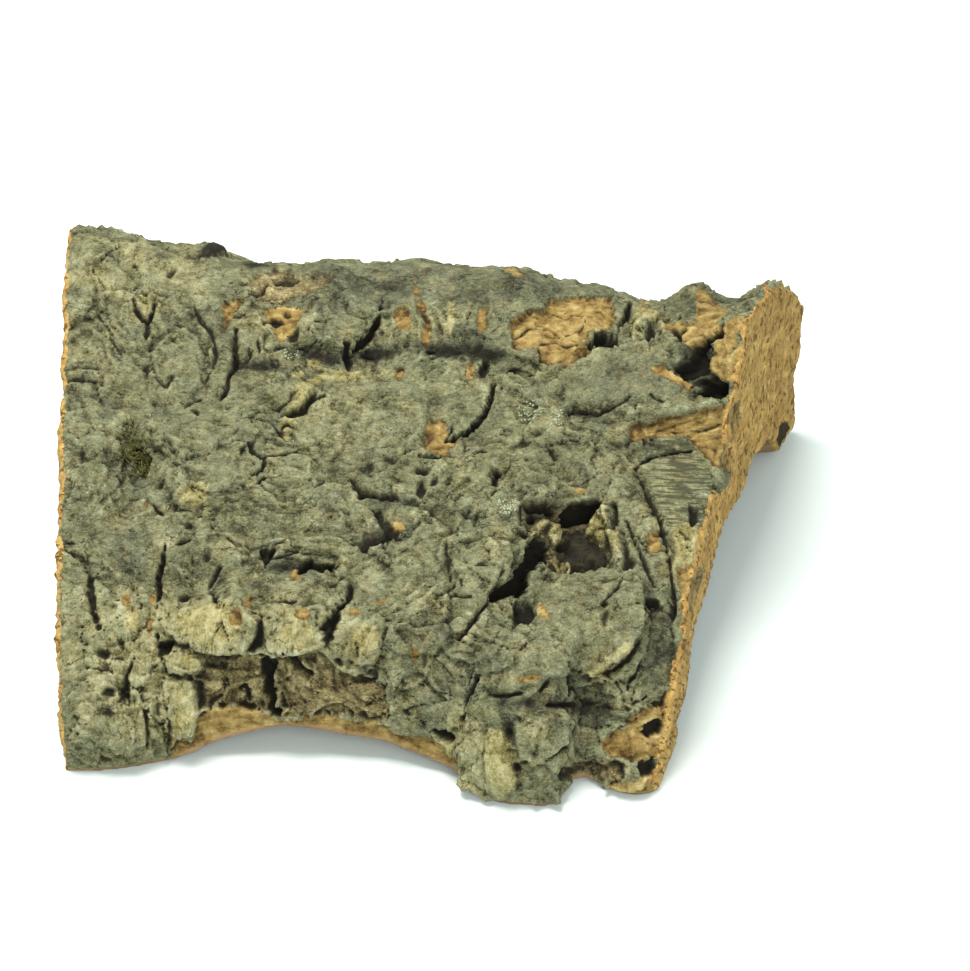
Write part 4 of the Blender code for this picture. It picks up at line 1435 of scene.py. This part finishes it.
    @staticmethod
    def hair_cracks(tree: NodeTree, place: Socket, bent: Socket) -> Socket:
        """Draws thin winding cracks, broken up.

        Args:
            tree: the material's nodes.
            place: the place, in mm.
            bent: the same, bent by noise.

        Returns:
            1 in them, 0 elsewhere.
        """
        level = tree.add("size", tree.add("minus", tree.add("noise", bent, 1 / 5, 3, 0.6), 0.5))
        open_part = tree.add("noise", tree.add("shift", place, (9, 4, 2)), 1 / 4, 3, 0.6)
        cracks = tree.add("span", level, 0.004, 0.018, 1, 0)
        return tree.add("times", cracks, tree.add("span", open_part, 0.52, 0.62))

    def skin_colour(
        self, tree: NodeTree, place: Socket, shade: Socket, crumb: Socket, carried: dict[str, Socket]
    ) -> Socket:
        """Colours the weathered skin: grey-green, yellower or greyer by place, browner where freshly worn, and near
        black with painted shade, and some dirt, where the tone is lowest.

        Args:
            tree: the material's nodes.
            place: the place, in mm.
            shade: how light the skin is, from 0 to 1.
            crumb: the noise of its crumbs.
            carried: what the mesh carries, by name.

        Returns:
            The colour.
        """
        add = tree.add
        ramps = [add("ramp", shade, stops=s) for s in (self.yellow_skin, self.grey_skin, self.brown_skin, self.pale)]
        yellow, grey, brown, pale = ramps
        drift = add("noise", place, 1 / 6, 3, 0.5)
        tint = tree.total(carried["tone"], add("span", drift, 0.25, 0.75, -0.75, 0.75))
        skin = add("mix", add("span", tint, 0.05, 0.85, 0, 0.95), add("ramp", shade, stops=self.skin), yellow)
        skin = add("mix", add("span", tint, -0.1, -0.75), skin, grey)
        # painted shade, with some dirt: where the tone is below -0.9 the skin goes toward near black, in hollows,
        # grooves and pits
        hollow_painted_shade = add("span", tree.total(tint, self.sway(tree, crumb, -0.5, 0.5)), -0.9, -2.2, 0, 0.92)
        fine = self.sway(tree, crumb, -0.6, 0.6)
        worn = add("noise", add("shift", place, (31, 7, 5)), 1 / 4, 4, 0.7)
        worn_share = add("span", worn, 0.5, 0.68, 0, 0.35)
        brown_share = add("span", tree.total(carried["brown"], fine), -0.4, 0.8, 0, 0.85)
        skin = add("mix", add("larger", worn_share, brown_share), skin, brown)
        skin = add("mix", hollow_painted_shade, skin, srgb(self.dirt_and_painted_shade))
        fleck = add("span", add("noise", add("shift", place, (3, 17, 8)), 1 / 1.6, 3, 0.6), 0.58, 0.72, 0, 0.35)
        fleck = add("times", fleck, add("minus", 1, hollow_painted_shade))
        pale_share = add("span", tree.total(carried["pale"], fine), -0.1, 0.5, 0, 0.8)
        skin = add("mix", add("larger", pale_share, fleck), skin, pale)
        slope, along = add("dot", place, (0.07, SINE, COSINE)), add("dot", place, (0.1, 0, 0))
        lines = add("noise", add("join", along, slope), 1 / 0.62, 2, 0.6)  # fine lines, 0.6 mm apart
        lined = add("span", tree.total(carried["striped"], fine), -0.2, 0.5)
        return add("mix", add("times", lined, add("span", lines, 0.54, 0.44, 0, 0.9)), skin, srgb(self.stripe))

    def torn_colour(
        self, tree: NodeTree, place: Socket, grain: Socket, relief: Socket, crumb: Socket, speck: Socket
    ) -> tuple[Socket, Socket]:
        """Colours bare cork where the skin has come off.

        Args:
            tree: the material's nodes.
            place: the place, in mm.
            grain: the place along, round and out through the grain, in mm.
            relief: how far it stands above what is round it, from which shade is painted in its hollows and light on
                its rises.
            crumb, speck: the noise of its crumbs and grains.

        Returns:
            The colour, and its fibre.
        """
        add, sway = tree.add, partial(self.sway, tree)
        fibre = add("noise", add("stretch", grain, (1 / 3, 1 / 1.3, 1)), 1, 4, 0.65)  # 3 mm by 1.3 mm
        stain = add("noise", add("shift", place, (5, 2, 13)), 1 / 3.6, 4, 0.65)
        shade = tree.total(
            0.5,
            sway(fibre, -0.35, 0.35),
            add("span", stain, 0.25, 0.75, -0.4, 0.4),
            sway(crumb, -0.2, 0.2),
            sway(speck, -0.12, 0.12),
            # painted shade in the hollows and painted light on the rises
            add("span", relief, -0.5, 0.4, -0.35, 0.2),
        )
        return add("ramp", shade, stops=self.torn), fibre

    def sawn_colour(
        self, tree: NodeTree, place: Socket, grain: Socket, crumb: Socket, speck: Socket
    ) -> tuple[Socket, Socket]:
        """Colours the sawn end, with its growth rings and the dark dashes of its lenticels.

        Args:
            tree: the material's nodes.
            place: the place, in mm.
            grain: the place along, round and out through the grain, in mm.
            crumb, speck: the noise of its crumbs and grains.

        Returns:
            The colour, and where the lenticels are.
        """
        add, sway = tree.add, partial(self.sway, tree)
        pores = add("noise", add("stretch", grain, (1, 1 / 0.8, 1 / 2.6)), 1, 2, 0.5)  # 0.8 mm by 2.6 mm
        rings = add("noise", add("stretch", grain, (1 / 40, 1 / 18, 1 / 2.4)), 1, 3, 0.6)  # 2.4 mm apart
        blotch = add("noise", place, 1 / 4.5, 3, 0.6)
        shade = tree.total(
            0.5, sway(rings, -0.25, 0.25), sway(blotch, -0.3, 0.3), sway(crumb, -0.35, 0.35), sway(speck, -0.15, 0.15)
        )
        pore_share = add("span", pores, 0.58, 0.66)
        cork = add("ramp", shade, stops=self.sawn)
        return add("mix", add("times", pore_share, 0.8), cork, srgb(self.lenticel)), pore_share


@dataclass(frozen=True)
class GrowthFinish:
    """Something small that grows on bark, in two shades.

    Args:
        name: the material's name.
        dark: the colour of its hollows.
        light: the colour of its tips.
        size: of its mottling, in mm.
    """

    name: str
    dark: str
    light: str
    size: float
    roughness: float = 0.9
    bump: float = 0.2  # mm
    bump_strength: float = 0.6

    def material(self) -> bpy.types.Material:
        """Mottled between the two shades."""
        tree = NodeTree(self.name)
        place = tree.add("stretch", tree.add("place"), (1 / MM, 1 / MM, 1 / MM))
        speck = tree.add("noise", place, 1 / self.size, 3, 0.6)
        return tree.finish(
            Base_Color=tree.add("ramp", speck, stops=((0.3, self.dark), (0.7, self.light))),
            Normal=tree.add("bump", self.bump_strength, self.bump * MM, speck),
            Roughness=self.roughness,
        )


@dataclass
class Growth(ABC):
    """Many small closed shapes strewn on the bark and joined as one piece.

    Args:
        name: the piece's name.
        finish: what it is made of.
        clumps: where it grows, in rows of u, v, radius and count.
        seed: of the strewing.
    """

    name: str
    finish: GrowthFinish
    clumps: Sequence[tuple[float, float, float, int]]
    seed: int

    ABOVE = 200.0  # how far over the chart the shapes are dropped from

    @abstractmethod
    def shape(self, bm: bmesh.types.BMesh, rng: np.random.Generator) -> list[bmesh.types.BMVert]:
        """Adds one small shape at the origin and returns its corners."""

    def build(self, bark: bpy.types.Object) -> bpy.types.Object:
        """Strews the shapes over the bark and joins them.

        Args:
            bark: the finished bark.

        Returns:
            The piece.
        """
        rng = np.random.default_rng(self.seed)
        tree = BVHTree.FromObject(bark, bpy.context.evaluated_depsgraph_get())
        bm = bmesh.new()
        for u, v, radius, count in self.clumps:
            for _ in range(count):
                angle, out = rng.uniform(0, FULL_TURN), radius * math.sqrt(rng.uniform())
                start = FRONT.point(u + out * math.cos(angle), v + out * math.sin(angle), self.ABOVE) * MM
                hit, normal, _, _ = tree.ray_cast(start, -Vector(FRONT.toward))
                if hit is None:
                    continue
                verts = self.shape(bm, rng)
                turn = UP.rotation_difference(normal).to_matrix().to_4x4()
                spin = Matrix.Rotation(rng.uniform(0, FULL_TURN), 4, "Z")
                bmesh.ops.transform(bm, matrix=Matrix.Translation(hit) @ turn @ spin, verts=verts)
        bmesh.ops.recalc_face_normals(bm, faces=bm.faces)
        mesh = bpy.data.meshes.new(self.name)
        bm.to_mesh(mesh)
        bm.free()
        piece = bpy.data.objects.new(self.name, mesh)
        bpy.context.scene.collection.objects.link(piece)
        mesh.materials.append(self.finish.material())
        mesh.shade_smooth()
        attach(piece, BODY)
        LOG.info("%s: %d faces", self.name, len(mesh.polygons))
        return piece


@dataclass
class Lichen(Growth):
    """Crusty lichen: low lobed grains."""

    grain: float = 0.24
    flatness: float = 0.4

    def shape(self, bm: bmesh.types.BMesh, rng: np.random.Generator) -> list[bmesh.types.BMVert]:
        """A flattened, dented ball."""
        size = self.grain * rng.uniform(0.5, 1.2) * MM
        verts = bmesh.ops.create_icosphere(bm, subdivisions=1, radius=size)["verts"]
        for vertex in verts:
            vertex.co *= rng.uniform(0.75, 1.25)
            vertex.co.z *= self.flatness
        return verts


@dataclass
class Moss(Growth):
    """Dry moss: short leaning shoots."""

    height: float = 2.2
    thickness: float = 0.16
    tip: float = 0.04
    lean: float = 0.55

    def shape(self, bm: bmesh.types.BMesh, rng: np.random.Generator) -> list[bmesh.types.BMVert]:
        """A thin three-sided spike that leans over."""
        height = self.height * rng.uniform(0.5, 1.2) * MM
        verts = bmesh.ops.create_cone(
            bm, cap_ends=True, segments=3, radius1=self.thickness * MM, radius2=self.tip * MM, depth=height
        )["verts"]
        lean = rng.normal(0, self.lean, 2)
        for vertex in verts:
            up = vertex.co.z + height / 2
            vertex.co = Vector((vertex.co.x + lean[0] * up, vertex.co.y + lean[1] * up, up * 0.9))
        return verts


@dataclass
class Studio:
    """The white table, the soft light and the camera.

    Args:
        lens, eye, aim: the camera's lens, place and target, in mm.
        table, sky: colours.
        lamps: rows of name, place in metres, size, power and colour.
    """

    lens: float = 85
    eye: tuple[float, float, float] = (8.68, -376.4, 280.7)
    aim: tuple[float, float, float] = (8.7, 3.4, 24.6)
    table: str = "#D3DEDF"
    table_reach: float = 3  # m
    table_roughness: float = 0.85
    sky: str = "#ECF6F0"
    sky_strength: float = 0.7
    lamps: tuple = (
        ("key", (-0.2, 0.06, 0.97), 0.5, 16.4, "#FFFAF2"),
        ("fill", (0.2, -0.95, 0.5), 0.8, 9, "#FFFDFA"),
    )
    lamp_target: tuple[float, float, float] = (0, 0, 0.02)

    @staticmethod
    def place(name: str, data: bpy.types.ID, eye: Vector, aim: Vector) -> bpy.types.Object:
        """Puts a lamp or a camera at eye, facing aim, and returns it."""
        thing = bpy.data.objects.new(name, data)
        thing.location = eye
        thing.rotation_euler = (aim - eye).to_track_quat("-Z", "Y").to_euler()
        bpy.context.scene.collection.objects.link(thing)
        return thing

    def light(self) -> None:
        """Soft square lamps, and an even sky."""
        for name, place, size, power, colour in self.lamps:
            data = bpy.data.lights.new(name, "AREA")
            data.size, data.energy, data.color = size, power, srgb(colour)[:3]
            self.place(name, data, Vector(place), Vector(self.lamp_target))
        world = bpy.data.worlds.new("sky")
        world.use_nodes = True
        background = world.node_tree.nodes["Background"]
        background.inputs["Color"].default_value = srgb(self.sky)
        background.inputs["Strength"].default_value = self.sky_strength
        bpy.context.scene.world = world

    def floor(self) -> None:
        """A wide white table top."""
        mesh = bpy.data.meshes.new("table_top")
        bm = bmesh.new()
        bmesh.ops.create_grid(bm, x_segments=1, y_segments=1, size=self.table_reach)
        bm.to_mesh(mesh)
        bm.free()
        top = bpy.data.objects.new("table_top", mesh)
        bpy.context.scene.collection.objects.link(top)
        tree = NodeTree("white_laminate")
        mesh.materials.append(tree.finish(Base_Color=srgb(self.table), Roughness=self.table_roughness))

    def camera(self) -> None:
        """The view from in front and above."""
        data = bpy.data.cameras.new("camera")
        data.lens = self.lens
        data.clip_start, data.clip_end = 0.01, 20
        bpy.context.scene.camera = self.place("camera", data, Vector(self.eye) * MM, Vector(self.aim) * MM)

    def build(self) -> None:
        """Sets everything up."""
        self.camera()
        self.floor()
        self.light()
        bpy.context.scene.view_settings.view_transform = "Standard"


LICHEN_SITES = (
    (16.8, 36.6, 2.4, 50),
    (21.6, 35.6, 2, 40),
    (11.8, 18.4, 1.6, 50),
    (13.4, 18.6, 1.2, 24),
    (-30.4, 48.8, 1.4, 16),
)
MOSS_SITES = ((-59.3, 29.5, 2.6, 110), (-57.4, 25.4, 1.6, 70), (-60.5, 33, 1.6, 30))


def main() -> None:
    """Builds the bark, what grows on it, and the studio round it."""
    logging.basicConfig(level=logging.INFO, format="%(name)s: %(message)s")
    noise.seed_set(NOISE_SEED)
    Studio().build()
    bark = Bark(CorkFinish()).build()
    Lichen("lichen", GrowthFinish("crustose_lichen", "#6B765C", "#A4AD8F", 0.5), LICHEN_SITES, 7).build(bark)
    Moss("moss", GrowthFinish("dry_moss", "#2F3214", "#75702F", 0.8), MOSS_SITES, 11).build(bark)


if __name__ == "__main__":
    main()
